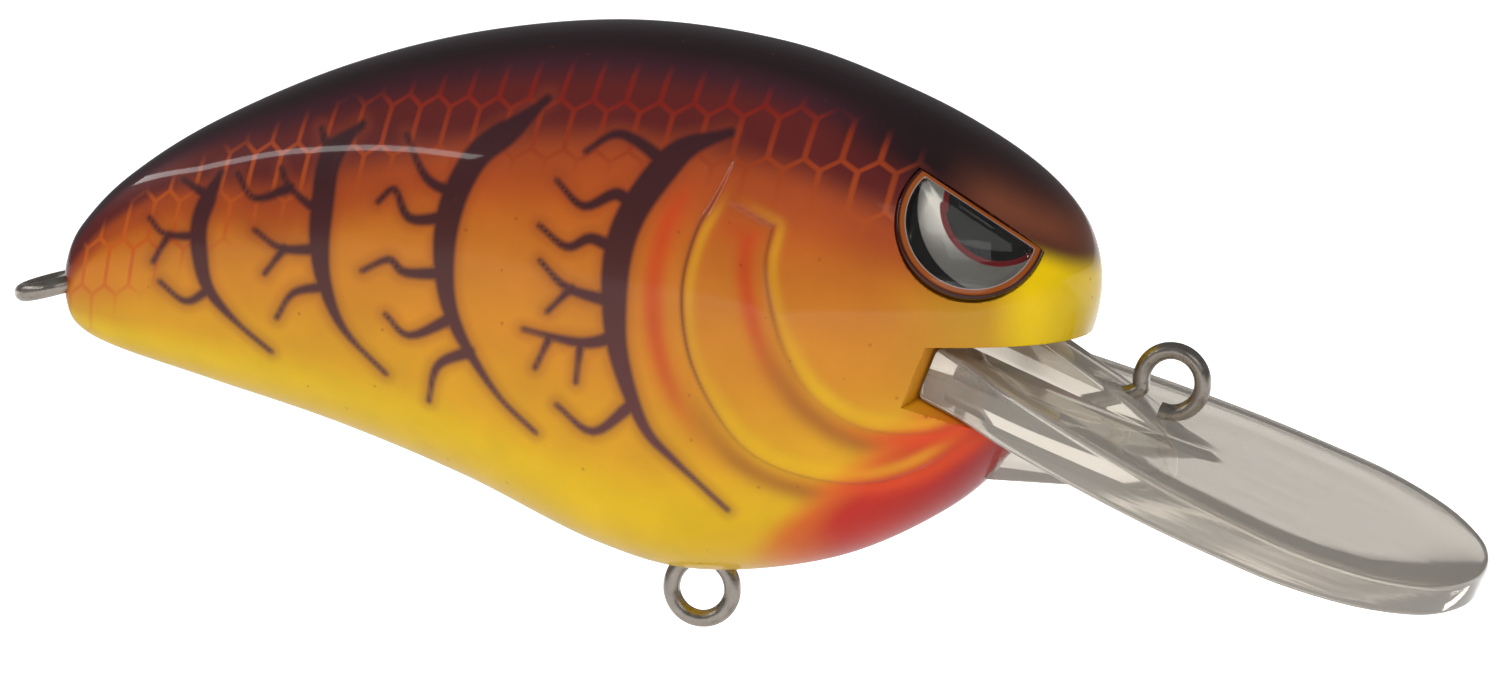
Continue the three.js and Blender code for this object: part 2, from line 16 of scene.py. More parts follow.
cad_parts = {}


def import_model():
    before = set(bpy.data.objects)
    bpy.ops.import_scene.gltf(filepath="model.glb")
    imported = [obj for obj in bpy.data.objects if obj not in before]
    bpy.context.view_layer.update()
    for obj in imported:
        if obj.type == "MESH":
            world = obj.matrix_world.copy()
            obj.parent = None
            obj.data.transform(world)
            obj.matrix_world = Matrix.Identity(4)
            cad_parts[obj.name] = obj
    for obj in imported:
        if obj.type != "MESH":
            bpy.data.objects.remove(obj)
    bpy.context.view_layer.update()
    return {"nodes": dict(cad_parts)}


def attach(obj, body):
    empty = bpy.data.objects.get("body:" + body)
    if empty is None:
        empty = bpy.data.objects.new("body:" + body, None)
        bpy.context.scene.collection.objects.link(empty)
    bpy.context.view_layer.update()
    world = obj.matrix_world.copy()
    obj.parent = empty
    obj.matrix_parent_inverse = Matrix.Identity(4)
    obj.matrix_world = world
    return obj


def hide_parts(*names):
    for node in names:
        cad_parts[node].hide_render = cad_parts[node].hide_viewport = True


log = logging.getLogger("crankbait")

MM = 0.001
Socket = bpy.types.NodeSocket
Inputs = dict[object, object]


class Side(Enum):
    """The two sides of the lure, by the sign of Y."""

    LEFT = 1
    RIGHT = -1

    @property
    def word(self) -> str:
        """The side's name as the CAD nodes spell it."""
        return self.name.lower()


# ---- Small helpers ---------------------------------------------------------------------


def linear(code: str) -> tuple[float, float, float, float]:
    """Turns an sRGB hex colour into linear light.

    Args:
        code: The colour as "#rrggbb".

    Returns:
        Red, green, blue and an alpha of 1.
    """
    shares = [int(code[i : i + 2], 16) / 255 for i in (1, 3, 5)]
    light = [s / 12.92 if s <= 0.04045 else ((s + 0.055) / 1.055) ** 2.4 for s in shares]
    return (*light, 1.0)


def smooth(low: float, high: float, value: np.ndarray) -> np.ndarray:
    """Rises smoothly from 0 at low to 1 at high; low may be the larger."""
    share = np.clip((value - low) / (high - low), 0, 1)
    return share * share * (3 - 2 * share)


def bump(centre: float, width: float, value: np.ndarray) -> np.ndarray:
    """A soft bell of height 1 round a centre."""
    return np.exp(-(((value - centre) / width) ** 2))


def add_node(
    tree: bpy.types.NodeTree, kind: str, inputs: Inputs | None = None, **settings: object
) -> bpy.types.Node:
    """Adds a node with its settings and links.

    Args:
        tree: The node tree.
        kind: The node's type, without the leading "ShaderNode".
        inputs: Socket name or number to a value, or to a socket that feeds it.
        settings: Properties of the node.

    Returns:
        The new node.
    """
    node = tree.nodes.new("ShaderNode" + kind)
    for name, value in settings.items():
        setattr(node, name, value)
    for key, value in (inputs or {}).items():
        socket = node.inputs[key]
        if isinstance(value, bpy.types.NodeSocket):
            tree.links.new(value, socket)
        else:
            socket.default_value = value
    return node


def maths(tree: bpy.types.NodeTree, operation: str, *values: object) -> Socket:
    """The result of one sum on numbers or sockets."""
    return add_node(tree, "Math", dict(enumerate(values)), operation=operation).outputs[0]


def blend(
    tree: bpy.types.NodeTree, share: object, under: object, over: object, how: str = "MIX"
) -> Socket:
    """Lays one colour over another.

    Args:
        tree: The node tree.
        share: How much of the upper colour shows, as a number or a socket.
        under: The lower colour, as a hex code or a socket.
        over: The upper colour, as a hex code or a socket.
        how: Blender's name for the way of mixing.

    Returns:
        The mixed colour.
    """
    lower, upper = (linear(tone) if isinstance(tone, str) else tone for tone in (under, over))
    inputs = {0: share, 6: lower, 7: upper}
    return add_node(tree, "Mix", inputs, data_type="RGBA", blend_type=how).outputs[2]


def ramp(
    tree: bpy.types.NodeTree,
    value: Socket,
    low: float,
    high: float,
    to: tuple[float, float] = (0.0, 1.0),
    curve: str = "LINEAR",
) -> Socket:
    """Carries a value from one range to another.

    Args:
        tree: The node tree.
        value: The value to carry.
        low: Where its range starts, which may be above its end.
        high: Where its range ends.
        to: The results at the start and at the end.
        curve: "LINEAR" or "SMOOTHSTEP".

    Returns:
        The result, held within its two ends.
    """
    inputs = {"Value": value, "From Min": low, "From Max": high, "To Min": to[0], "To Max": to[1]}
    return add_node(tree, "MapRange", inputs, interpolation_type=curve).outputs[0]


def noise(tree: bpy.types.NodeTree, place: Socket, scale: float, detail: float = 2.0) -> Socket:
    """Soft noise with about this many waves in a metre."""
    inputs = {"Vector": place, "Scale": scale, "Detail": detail}
    return add_node(tree, "TexNoise", inputs).outputs["Fac"]


def dented(tree: bpy.types.NodeTree, height: Socket, strength: float, depth: float) -> Socket:
    """A surface that rises and falls with a height, by a depth in millimetres."""
    inputs = {"Height": height, "Strength": strength, "Distance": depth * MM}
    return add_node(tree, "Bump", inputs).outputs[0]


def pick(piece: bpy.types.Object) -> None:
    """Makes one object the only selected and active one."""
    bpy.ops.object.select_all(action="DESELECT")
    piece.select_set(True)
    bpy.context.view_layer.objects.active = piece


def positions(piece: bpy.types.Object) -> np.ndarray:
    """The vertices of a mesh as an array of rows."""
    flat = np.empty(len(piece.data.vertices) * 3)
    piece.data.vertices.foreach_get("co", flat)
    return flat.reshape(-1, 3)


def set_positions(piece: bpy.types.Object, places: np.ndarray) -> None:
    """Moves every vertex of a mesh to its row of the array."""
    piece.data.vertices.foreach_set("co", np.ascontiguousarray(places, np.float32).ravel())
    piece.data.update()


def store(piece: bpy.types.Object, name: str, values: np.ndarray, kind: str = "FLOAT") -> None:
    """Keeps one value, vector or colour for each vertex as a named attribute."""
    key = {"FLOAT": "value", "FLOAT_VECTOR": "vector", "FLOAT_COLOR": "color"}[kind]
    layer = piece.data.attributes.new(name, kind, "POINT")
    layer.data.foreach_set(key, np.ascontiguousarray(values, np.float32).ravel())


def carve(piece: bpy.types.Object, tool: bpy.types.Object, how: str = "DIFFERENCE") -> None:
    """Cuts or joins a closed mesh with another one, which is used up."""
    pick(piece)
    modifier = piece.modifiers.new("carve", "BOOLEAN")
    modifier.operation = how
    modifier.solver = "MANIFOLD"
    modifier.object = tool
    bpy.ops.object.modifier_apply(modifier=modifier.name)
    bpy.data.objects.remove(tool)


def face_outwards(piece: bpy.types.Object) -> None:
    """Turns every face of a closed mesh outwards."""
    pick(piece)
    bpy.ops.object.mode_set(mode="EDIT")
    bpy.ops.mesh.select_all(action="SELECT")
    bpy.ops.mesh.normals_make_consistent(inside=False)
    bpy.ops.object.mode_set(mode="OBJECT")


def finish_mesh(piece: bpy.types.Object, name: str, angle: float = 35) -> bpy.types.Object:
    """Names a piece, shades it smooth up to an angle and turns millimetres into metres."""
    piece.name = piece.data.name = name
    pick(piece)
    bpy.ops.object.shade_smooth_by_angle(angle=math.radians(angle))
    piece.data.transform(Matrix.Scale(MM, 4))
    triangles = sum(len(p.vertices) - 2 for p in piece.data.polygons)
    log.info("%s: %d triangles", name, triangles)
    return piece


def dress(piece: bpy.types.Object, material: bpy.types.Material) -> None:
    """Gives a piece one material all over."""
    piece.data.materials.clear()
    piece.data.materials.append(material)


def through(points: np.ndarray, share: np.ndarray) -> np.ndarray:
    """Places on a closed curve that passes smoothly through its points.

    Args:
        points: One row for each point, in order round the curve.
        share: How far round each place is, from 0 to 1.

    Returns:
        One row for each share.
    """
    place = len(points) * (np.asarray(share, float) % 1.0)
    index = np.floor(place).astype(int)
    t = (place - index)[..., None]
    before, start, end, after = (points[(index + k) % len(points)] for k in (-1, 0, 1, 2))
    leave, arrive = (end - before) / 2, (after - start) / 2
    rise = end - start
    return start + t * (leave + t * (3 * rise - 2 * leave - arrive + t * (leave + arrive - 2 * rise)))


def softened(points: list[tuple[float, ...]], steps: int = 6) -> np.ndarray:
    """A smooth open line through points, sampled a few times between each two."""
    rows = np.array(points, float)
    if len(rows) < 3:
        return rows
    padded = np.vstack([2 * rows[0] - rows[1], rows, 2 * rows[-1] - rows[-2]])
    count = len(padded)
    place = np.linspace(1, count - 2, (count - 3) * steps + 1) / count
    return through(padded, place)


def line_field(line: np.ndarray, x: np.ndarray, z: np.ndarray) -> tuple[np.ndarray, np.ndarray]:
    """Measures places from a drawn line.

    Args:
        line: The line's points, as rows of x and z.
        x: The places' x.
        z: The places' z.

    Returns:
        The distance, positive on the left of the line's direction, and the share along it.
    """
    steps = np.diff(line[:, :2], axis=0)
    lengths = np.hypot(*steps.T)
    starts = np.concatenate([[0], np.cumsum(lengths)])
    best = np.full(x.shape, np.inf)
    signed = np.zeros(x.shape)
    share = np.zeros(x.shape)
    for (sx, sz), (dx, dz), length, start in zip(line[:, :2], steps, lengths, starts):
        t = np.clip(((x - sx) * dx + (z - sz) * dz) / length**2, 0, 1)
        away = np.hypot(x - sx - t * dx, z - sz - t * dz)
        nearer = away < best
        best = np.where(nearer, away, best)
        side = np.sign(dx * (z - sz) - dz * (x - sx))
        signed = np.where(nearer, away * side, signed)
        share = np.where(nearer, (start + t * length) / starts[-1], share)
    return signed, share


# ---- The body's moulded shape ----------------------------------------------------------

TAIL_TIP = (0, 0.4726)
NOSE_TIP = (1, 0.5363)
# Back along and up, belly along and up, and share of the width, from the tail to the nose.
STATIONS = np.array(
    [
        (0.0036, 0.5257, 0.0027, 0.423, 0.139),
        (0.018, 0.5823, 0.0145, 0.384, 0.229),
        (0.062, 0.6708, 0.053, 0.35, 0.373),
        (0.1436, 0.777, 0.1436, 0.3027, 0.566),
        (0.271, 0.892, 0.271, 0.2354, 0.759),
        (0.407, 0.968, 0.398, 0.1487, 0.904),
        (0.5545, 1, 0.525, 0.0407, 0.988),
        (0.698, 0.9717, 0.6255, 0, 1),
        (0.816, 0.897, 0.7527, 0.0354, 0.928),
        (0.902, 0.816, 0.8564, 0.131, 0.795),
        (0.96, 0.7327, 0.918, 0.239, 0.639),
        (0.991, 0.646, 0.9745, 0.3947, 0.373),
    ]
)


@dataclass(frozen=True)
class Skin:
    """The outside of the moulded body: a smooth side view and a rounded section."""

    length: float = 55.0
    height: float = 28.25
    width: float = 16.6
    nose_x: float = -3.9
    back_z: float = 17.3
    power: float = 2.2

    @property
    def tail_x(self) -> float:
        """Where the tail ends."""
        return self.nose_x - self.length

    def side_points(self) -> np.ndarray:
        """The side view's points, along the back and home along the belly."""
        back, belly = STATIONS[:, 0:2], STATIONS[::-1, 2:4]
        shares = np.vstack([TAIL_TIP, back, NOSE_TIP, belly])
        low = self.back_z - self.height
        return np.column_stack(
            [self.tail_x + self.length * shares[:, 0], low + self.height * shares[:, 1]]
        )

    def half_widths(self) -> np.ndarray:
        """Half the width at the same points, negative on the way home."""
        share = STATIONS[:, 4]
        return np.concatenate([[0], share, [0], -share[::-1]])[:, None] * self.width / 2

    def rounded(self, value: np.ndarray) -> np.ndarray:
        """Shapes a sine or cosine to the section's squareness."""
        size = np.abs(value)
        return np.where(size < 1e-7, 0, np.sign(value) * size ** (2 / self.power))

    def place(self, station: np.ndarray, turn: np.ndarray, inset: float = 0) -> np.ndarray:
        """Points of the skin.

        Args:
            station: From 0 at the tail to 1 at the nose.
            turn: Radians above the left flank.
            inset: How far inside the skin.

        Returns:
            Rows of x, y and z.
        """
        sides = self.side_points()
        top, bottom = through(sides, station / 2), through(sides, 1 - station / 2)
        half, middle = (top - bottom) / 2, (top + bottom) / 2
        tall = np.maximum(np.linalg.norm(half, axis=-1, keepdims=True), 1e-9)
        half = half * np.maximum(0, 1 - inset / tall)
        wide = np.maximum(0, through(self.half_widths(), station / 2)[..., 0] - inset)
        xz = middle + half * self.rounded(np.sin(turn))[..., None]
        return np.stack([xz[..., 0], wide * self.rounded(np.cos(turn)), xz[..., 1]], -1)

    def normal(self, station: np.ndarray, turn: np.ndarray) -> np.ndarray:
        """The outward direction at points of the skin."""
        step = 1e-3
        ahead, behind = np.clip(station + step, 0, 1), np.clip(station - step, 0, 1)
        along = self.place(ahead, turn) - self.place(behind, turn)
        round_it = self.place(station, turn + step) - self.place(station, turn - step)
        out = np.cross(round_it, along)
        return out / np.maximum(np.linalg.norm(out, axis=-1, keepdims=True), 1e-12)

    def heights(self, x: np.ndarray) -> tuple[np.ndarray, np.ndarray]:
        """The height of the back and of the belly above places along the body."""
        share = np.linspace(0, 0.5, 600)
        back, belly = through(self.side_points(), share), through(self.side_points(), 1 - share)
        return np.interp(x, back[:, 0], back[:, 1]), np.interp(x, belly[:, 0], belly[:, 1])


SKIN = Skin()

# The raised edges of the two gill plates, from the top down, as x and z.
GILL_OUTER = softened(
    [
        (-21.0, 12.3), (-22.2, 9.6), (-23.1, 7.8), (-23.7, 5.0), (-23.4, 1.9), (-22.3, -0.8),
        (-20.6, -3.2), (-18.2, -4.5), (-15.0, -5.0), (-12.1, -4.3), (-9.1, -2.4),
    ]
)  # fmt: skip
GILL_INNER = np.vstack(
    [
        [(-21.9, 9.7)],
        softened(
            [
                (-19.1, 8.3), (-19.4, 6.6), (-19.2, 4.8), (-18.5, 2.3), (-17.3, 0.1),
                (-15.6, -1.4), (-13.8, -2.1), (-11.4, -2.2), (-9.2, -1.6),
            ]
        ),
    ]
)  # fmt: skip


def gill_relief(x: np.ndarray, z: np.ndarray) -> np.ndarray:
    """How far the gill plates' edges stand off the plain skin, in millimetres."""
    total = np.zeros(x.shape)
    for line, high, low in ((GILL_OUTER, 0.2, 0.16), (GILL_INNER, 0.17, 0.13)):
        away, share = line_field(line, x, z)
        step = smooth(-0.16, 0.16, away)
        raised = high * np.exp(-np.abs(away) / 1.6)
        sunk = -low * np.exp(-np.abs(away) / 1.1)
        fade = smooth(0, 0.06, share) * smooth(1, 0.8, share)
        total += fade * (raised * step + sunk * (1 - step))
    return total


# ---- Air-brushed paint -----------------------------------------------------------------


@dataclass(frozen=True)
class Stroke:
    """One stroke of dark paint: a main stripe swells in its middle, a twig thins out."""

    points: tuple[tuple[float, float], ...]
    width: float
    twig: bool = True

    def field(self, x: np.ndarray, z: np.ndarray) -> np.ndarray:
        """The distance from the stroke's edge, negative inside it."""
        away, share = line_field(softened(list(self.points), 5), x, z)
        swell = 1 - 0.72 * share
        if not self.twig:
            swell = (0.3 + 0.7 * smooth(0, 0.16, share)) * (1 - 0.88 * smooth(0.35, 1.02, share) ** 0.8)
        return np.abs(away) - np.maximum(self.width / 2 * swell, 0.13)


# Each stroke's width, and its points as x and z from its thick end.
MAIN_STRIPES = (
    (0.95, ((-49.4, 9.1), (-50.4, 6.6), (-50.3, 4.5), (-49.8, 3.0), (-48.4, 1.5), (-46.5, 0.0))),
    (1.25, (
        (-41.6, 12.1), (-43.1, 10.5), (-43.4, 8.2), (-43.5, 5.9), (-43.2, 3.9), (-42.2, 1.6),
        (-40.0, -0.6),
    )),
    (1.35, (
        (-31.6, 14.0), (-33.1, 12.6), (-34.9, 11.2), (-36.0, 9.2), (-36.5, 7.0), (-36.5, 4.7),
        (-36.1, 2.8), (-35.1, 0.8), (-33.6, -1.4), (-31.8, -3.1),
    )),
    (1.5, (
        (-21.8, 12.8), (-24.1, 11.9), (-25.7, 10.0), (-26.7, 8.2), (-27.2, 6.3), (-27.3, 3.9),
        (-27.1, 1.6), (-26.4, -0.9), (-25.6, -2.7), (-24.4, -4.0), (-23.2, -5.2), (-21.8, -6.7),
    )),
)  # fmt: skip
TWIGS = (
    (0.8, ((-43.1, 10.3), (-43.9, 11.7))),
    (0.5, ((-50.3, 5.8), (-52.4, 5.7), (-53.4, 6.4))),
    (0.4, ((-52.2, 5.7), (-53.1, 4.2))),
    (0.5, ((-49.8, 3.1), (-51.2, 2.3), (-52.7, 3.2))),
    (0.5, ((-50.4, 8.0), (-51.6, 8.5))),
    (0.5, ((-43.6, 7.6), (-45.3, 8.7), (-45.9, 9.6))),
    (0.5, ((-45.3, 8.7), (-47.3, 8.0), (-48.4, 9.1))),
    (0.6, ((-43.6, 5.7), (-45.7, 5.6), (-47.2, 6.4))),
    (0.45, ((-45.5, 5.6), (-46.6, 4.2))),
    (0.55, ((-43.2, 3.8), (-45.0, 3.3), (-46.0, 1.9))),
    (0.6, ((-36.1, 9.1), (-37.7, 9.8), (-39.0, 11.8))),
    (0.65, ((-36.4, 7.9), (-38.5, 7.7), (-39.4, 9.1), (-40.3, 8.4))),
    (0.65, ((-36.6, 5.0), (-38.7, 4.9), (-39.6, 5.5), (-41.1, 4.8))),
    (0.65, ((-36.1, 2.7), (-38.5, 1.6), (-39.8, 2.6))),
    (0.65, ((-35.2, 1.0), (-37.0, 0.1), (-37.7, -1.9))),
    (0.7, ((-24.9, 11.2), (-26.5, 12.2), (-27.8, 12.5), (-29.2, 11.6))),
    (0.7, ((-26.4, 8.9), (-27.4, 9.6), (-29.1, 8.9), (-30.6, 10.1))),
    (0.7, ((-27.1, 6.7), (-28.6, 7.3), (-29.9, 6.8), (-31.4, 7.8))),
    (0.7, ((-27.3, 4.1), (-29.8, 4.7), (-31.3, 6.0))),
    (0.45, ((-29.6, 4.7), (-30.9, 3.4))),
    (0.7, ((-27.2, 2.3), (-29.1, 1.9), (-32.2, 2.4))),
    (0.4, ((-30.8, 2.0), (-31.6, 0.4))),
    (0.45, ((-29.1, 1.9), (-29.4, -0.2))),
    (0.65, ((-26.4, -1.2), (-28.6, -2.8), (-30.5, -1.5))),
)  # fmt: skip
STRIPES = (
    *(Stroke(points, width, False) for width, points in MAIN_STRIPES),
    *(Stroke(points, width) for width, points in TWIGS),
)


class Airbrush:
    """The body's colours, sprayed coat over coat as soft fields over the side view, with painted shade
    and painted highlights along the gill plates.
    """

    def __init__(self, places: np.ndarray) -> None:
        """Measures the places to paint: rows of x, y and z in millimetres."""
        self.x, _, self.z = places.T
        back, belly = SKIN.heights(self.x)
        self.under_back = back - self.z
        self.over_belly = self.z - belly
        self.rise = self.over_belly / np.maximum(back - belly, 0.5)
        self.colour = np.tile(linear("#c47223"), (len(places), 1))

    def spray(self, code: str, cover: np.ndarray) -> None:
        """Lays a colour over what is there, by a cover from 0 to 1."""
        share = np.clip(cover, 0, 1)[:, None]
        self.colour = self.colour * (1 - share) + np.array(linear(code)) * share

    def flank(self) -> None:
        """Amber flanks that run to a yellow belly and a smoky back."""
        x, z, rise = self.x, self.z, self.rise
        self.spray("#d5881f", smooth(0.62, 0.42, rise))
        self.spray("#dd9f1a", smooth(0.44, 0.24, rise))
        self.spray("#ebbf06", smooth(0.26, 0.12, rise))
        self.spray("#dd8220", smooth(-53, -57, x) * smooth(0.2, 0.5, rise) * 0.6)
        self.spray("#b8571f", smooth(0.56, 0.74, rise))
        self.spray("#dba414", smooth(-26, -20, x) * smooth(0.36, 0.16, rise) * 0.5)

    def gills(self) -> None:
        """Painted red shade behind each gill plate's edge, browner low down, a painted yellow highlight
        on the edge, and a painted dark line of shade in its crease.
        """
        for line, away_red, wide, crease_shade in ((GILL_OUTER, 1.55, 0.6, 0.7), (GILL_INNER, 1.1, 0.5, 0.4)):
            away, share = line_field(line, self.x, self.z)
            ends = smooth(0.0, 0.14, share) * smooth(1.0, 0.86, share)
            low = smooth(0.35, 0.62, share)
            # Painted shade in red and brown on the sunk side, painted yellow highlights on the raised
            # edge, and a painted dark line of shade along the crease.
            self.spray("#c4421c", bump(-away_red, wide, away) * ends * (1 - low) * 0.8)
            self.spray("#9c561f", bump(-0.85, 0.65, away) * ends * low * 0.75)
            self.spray("#d59a22", bump(0.42, 0.26, away) * ends * (1 - low) * 0.7)
            self.spray("#e6b414", bump(0.5, 0.42, away) * ends * low * 0.8)
            self.spray("#5c3630", bump(-0.02, 0.13, away) * smooth(0, 0.05, share) * (1 - low) * crease_shade)

    def head(self) -> None:
        """Yellow nose and cheek below a rust-brown brow, and a red throat."""
        x, z = self.x, self.z
        cheek = smooth(-13.5, -6.5, x + 0.25 * z)
        self.spray("#c8981f", cheek * smooth(7.5, 4.0, z) * 0.85)
        brow = z - 7.5 + 0.5 * (x + 7)
        self.spray("#7e4630", smooth(-11.5, -8.0, x) * bump(1.3, 1.1, brow) * 0.75)
        self.spray("#f3cb05", smooth(-8.6, -6.2, x) * smooth(0.6, -0.7, brow))
        edge = 0.646 * (x + 8.8) - 0.762 * (z + 0.3)
        below = smooth(1.5, 0.2, z)
        self.spray("#dd6a1a", smooth(-2.0, -0.4, edge) * smooth(-22.5, -18.5, x) * below)
        self.spray("#c4291c", smooth(-1.1, 0.5, edge) * smooth(-19.2, -16.0, x) * below)
        self.spray("#a0262a", smooth(-15, -9.5, x) * smooth(0.6, 2.6, edge) * below * 0.75)
        # Near the throat: a red line just behind each gill edge, and a painted yellow highlight on the
        # edge.
        for line in (GILL_OUTER, GILL_INNER):
            away, share = line_field(line, x, z)
            late = smooth(0.62, 0.86, share)
            self.spray("#e04a1c", bump(-0.35, 0.5, away) * late * 0.8)
            self.spray("#e8a41c", bump(0.5, 0.35, away) * late * smooth(1.02, 0.9, share) * 0.7)

    def back(self) -> None:
        """Maroon scales' ground, then near black along the back."""
        depth = self.under_back * (1 + 1.8 * smooth(-45, -58, self.x))
        self.spray("#a4471f", smooth(8.8, 5.8, depth) * smooth(-5, -10, self.x))
        self.spray("#571e20", smooth(6.1, 3.9, depth) * 0.95)
        self.spray("#3c1d26", smooth(2.7, 1.3, depth))
        self.spray("#231619", smooth(1.6, 0.5, depth))
        self.spray("#231619", smooth(3.9, 1.8, depth) * smooth(-19, -12, self.x))

    def painted(self) -> np.ndarray:
        """All the coats, in order, as one colour for each place."""
        self.flank()
        self.gills()
        self.back()
        self.head()
        return self.colour

    def scales(self) -> np.ndarray:
        """The scale net's own coordinates and strength: column, row and cover.

        The net is 1.4 mm wide at the tail and 1.9 mm at the head, and 2.4 mm tall.
        """
        x, z = self.x, self.z
        level = 12.65 - 0.0018 * (x + 24) ** 2
        row = (z - level) / 2.4
        at = x - 0.16 * (z - level)
        grow = (1.9 - 1.4) / 45
        column = np.log1p(grow / 1.4 * (at + 59)) / grow
        reach = 6.4
        cover = smooth(1.2, 2.6, self.under_back) * smooth(reach + 1.0, reach - 1.4, self.under_back)
        cover *= smooth(-11.0, -14.5, x) * (1 - 0.6 * smooth(4, 1, z))
        return np.column_stack([column, row, cover])

    def stripes(self) -> np.ndarray:
        """The distance from the nearest dark stroke's edge."""
        nearest = np.full(self.x.shape, 9.0)
        for stroke in STRIPES:
            nearest = np.minimum(nearest, stroke.field(self.x, self.z))
        return nearest


# ---- Finishes --------------------------------------------------------------------------


def fresh_material(name: str) -> tuple[bpy.types.Material, bpy.types.NodeTree, bpy.types.Node]:
    """A new material with its node tree and an empty output."""
    material = bpy.data.materials.new(name)
    material.use_nodes = True
    tree = material.node_tree
    tree.nodes.clear()
    return material, tree, add_node(tree, "OutputMaterial")


def surfaced(
    material: bpy.types.Material, tree: bpy.types.NodeTree, output: bpy.types.Node, inputs: Inputs
) -> bpy.types.Material:
    """Closes a material with its surface shader.

    Args:
        material: The material.
        tree: Its node tree.
        output: Its output node.
        inputs: The shader's values and what feeds them.

    Returns:
        The same material.
    """
    shader = add_node(tree, "BsdfPrincipled", inputs)
    tree.links.new(shader.outputs[0], output.inputs["Surface"])
    return material


@dataclass(frozen=True)
class AirbrushedLacquer:
    """Air-brushed lacquer under a clear coat on moulded ABS: wet gloss over soft colour."""

    name: str = "airbrushed lacquer under clear coat"
    ior: float = 1.5

    def hexagon(self, tree: bpy.types.NodeTree, net: bpy.types.Node, shift: float) -> Socket:
        """How far each place is from the middle of its scale, 1 at the scale's edge.

        Args:
            tree: The node tree.
            net: The scale net's own coordinates, split into parts.
            shift: 0 for the first lattice, 1 for the one that is staggered by half a scale.

        Returns:
            The distance.
        """
        parts = []
        for axis, period in (("X", 1.0), ("Y", 2.0)):
            moved = maths(tree, "ADD", net.outputs[axis], period / 2 * (shift + 1))
            wrapped = maths(tree, "WRAP", moved, period, 0.0)
            parts.append(maths(tree, "ABSOLUTE", maths(tree, "SUBTRACT", wrapped, period / 2)))
        across, up = parts
        wide = maths(tree, "MULTIPLY", across, 2.0)
        slope = maths(tree, "MULTIPLY_ADD", across, 0.44, up)
        tall = maths(tree, "MULTIPLY_ADD", slope, 3.0, -0.83)
        return maths(tree, "SMOOTH_MAX", wide, tall, 0.12)

    def scaled(self, tree: bpy.types.NodeTree, ground: Socket, height: Socket) -> Socket:
        """Draws the scale net: two staggered lattices of tall hexagons, edges about 0.3 mm wide."""
        net = add_node(tree, "Attribute", attribute_name="scales")
        parts = add_node(tree, "SeparateXYZ", {0: net.outputs["Vector"]})
        nearest = maths(tree, "MINIMUM", *(self.hexagon(tree, parts, shift) for shift in (0, 1)))
        edge = ramp(tree, nearest, 0.74, 0.94, curve="SMOOTHSTEP")
        drawn = maths(tree, "MULTIPLY", edge, parts.outputs["Z"])
        tone = ramp(tree, height, 3.5 * MM, 14 * MM)
        return blend(tree, drawn, ground, blend(tree, tone, "#cf641f", "#7a2019"))

    def striped(self, tree: bpy.types.NodeTree, ground: Socket, height: Socket) -> Socket:
        """Draws the dark strokes, soft over about a quarter of a millimetre, in a brown haze."""
        away = add_node(tree, "Attribute", attribute_name="stripe").outputs["Fac"]
        inside = ramp(tree, away, 0.2, -0.14, (0.0, 0.94), "SMOOTHSTEP")
        halo = ramp(tree, away, 0.75, 0.0, (0.0, 0.35), "SMOOTHSTEP")
        tone = ramp(tree, height, -3 * MM, 9 * MM)
        hazed = blend(tree, halo, ground, "#8a3a20")
        return blend(tree, inside, hazed, blend(tree, tone, "#5a3038", "#331c22"))

    def dusted(self, tree: bpy.types.NodeTree, ground: Socket, place: Socket) -> Socket:
        """Sprinkles dust in the lacquer: dark specks about 0.1 mm across."""
        dust = add_node(tree, "TexVoronoi", {"Vector": place, "Scale": 1500.0}, feature="F1")
        chance = add_node(tree, "SeparateColor", {0: dust.outputs["Color"]})
        rare = maths(tree, "GREATER_THAN", chance.outputs[0], 0.93)
        near = maths(tree, "LESS_THAN", dust.outputs["Distance"], 0.15)
        faint = maths(tree, "MULTIPLY", maths(tree, "MULTIPLY", rare, near), 0.3)
        return blend(tree, faint, ground, "#6a2a1c")

    def build(self) -> bpy.types.Material:
        """Makes the material."""
        material, tree, output = fresh_material(self.name)
        place = add_node(tree, "TexCoord").outputs["Object"]
        height = add_node(tree, "SeparateXYZ", {0: place}).outputs["Z"]
        # The sprayed colours, which also hold the gills' painted shade and painted highlights.
        coat = add_node(tree, "Attribute", attribute_name="coat")
        # Mottle a few millimetres wide, as a hand-held airbrush leaves it.
        mottle = ramp(tree, noise(tree, place, 260.0, 3.0), 0.3, 0.7, (0.93, 1.07))
        ground = blend(tree, 1.0, coat.outputs["Color"], mottle, "MULTIPLY")
        netted = self.scaled(tree, ground, height)
        striped = self.striped(tree, netted, height)
        # Orange peel: the clear coat's surface waves by microns over about a millimetre.
        waved = dented(tree, noise(tree, place, 700.0, 1.0), 0.05, 0.02)
        return surfaced(
            material, tree, output,
            {
                "Base Color": self.dusted(tree, striped, place), "Roughness": 0.34, "IOR": self.ior,
                "Specular IOR Level": 0.12, "Coat Weight": 0.4, "Coat Roughness": 0.04,
                "Coat IOR": 1.5, "Coat Normal": waved,
            },
        )  # fmt: skip


@dataclass(frozen=True)
class MouldedPolycarbonate:
    """Polycarbonate, injection moulded and clear: a faint warm smoke that gathers in its edges."""

    name: str = "moulded clear polycarbonate"
    ior: float = 1.585

    def build(self) -> bpy.types.Material:
        """Makes the material."""
        material, tree, output = fresh_material(self.name)
        place = add_node(tree, "TexCoord").outputs["Object"]
        # Flow marks of the moulding, a couple of millimetres long.
        flow = add_node(tree, "Mapping", {"Vector": place, "Scale": (120, 420, 300)})
        waves = noise(tree, flow.outputs[0], 1.0)
        smoke = add_node(tree, "VolumeAbsorption", {"Color": linear("#d8ccbc"), "Density": 35.0})
        tree.links.new(smoke.outputs[0], output.inputs["Volume"])
        return surfaced(
            material, tree, output,
            {
                "Base Color": blend(tree, waves, "#e4dccf", "#f3eee5"), "Roughness": 0.04,
                "IOR": self.ior, "Transmission Weight": 0.72, "Normal": dented(tree, waves, 0.08, 0.1),
            },
        )  # fmt: skip


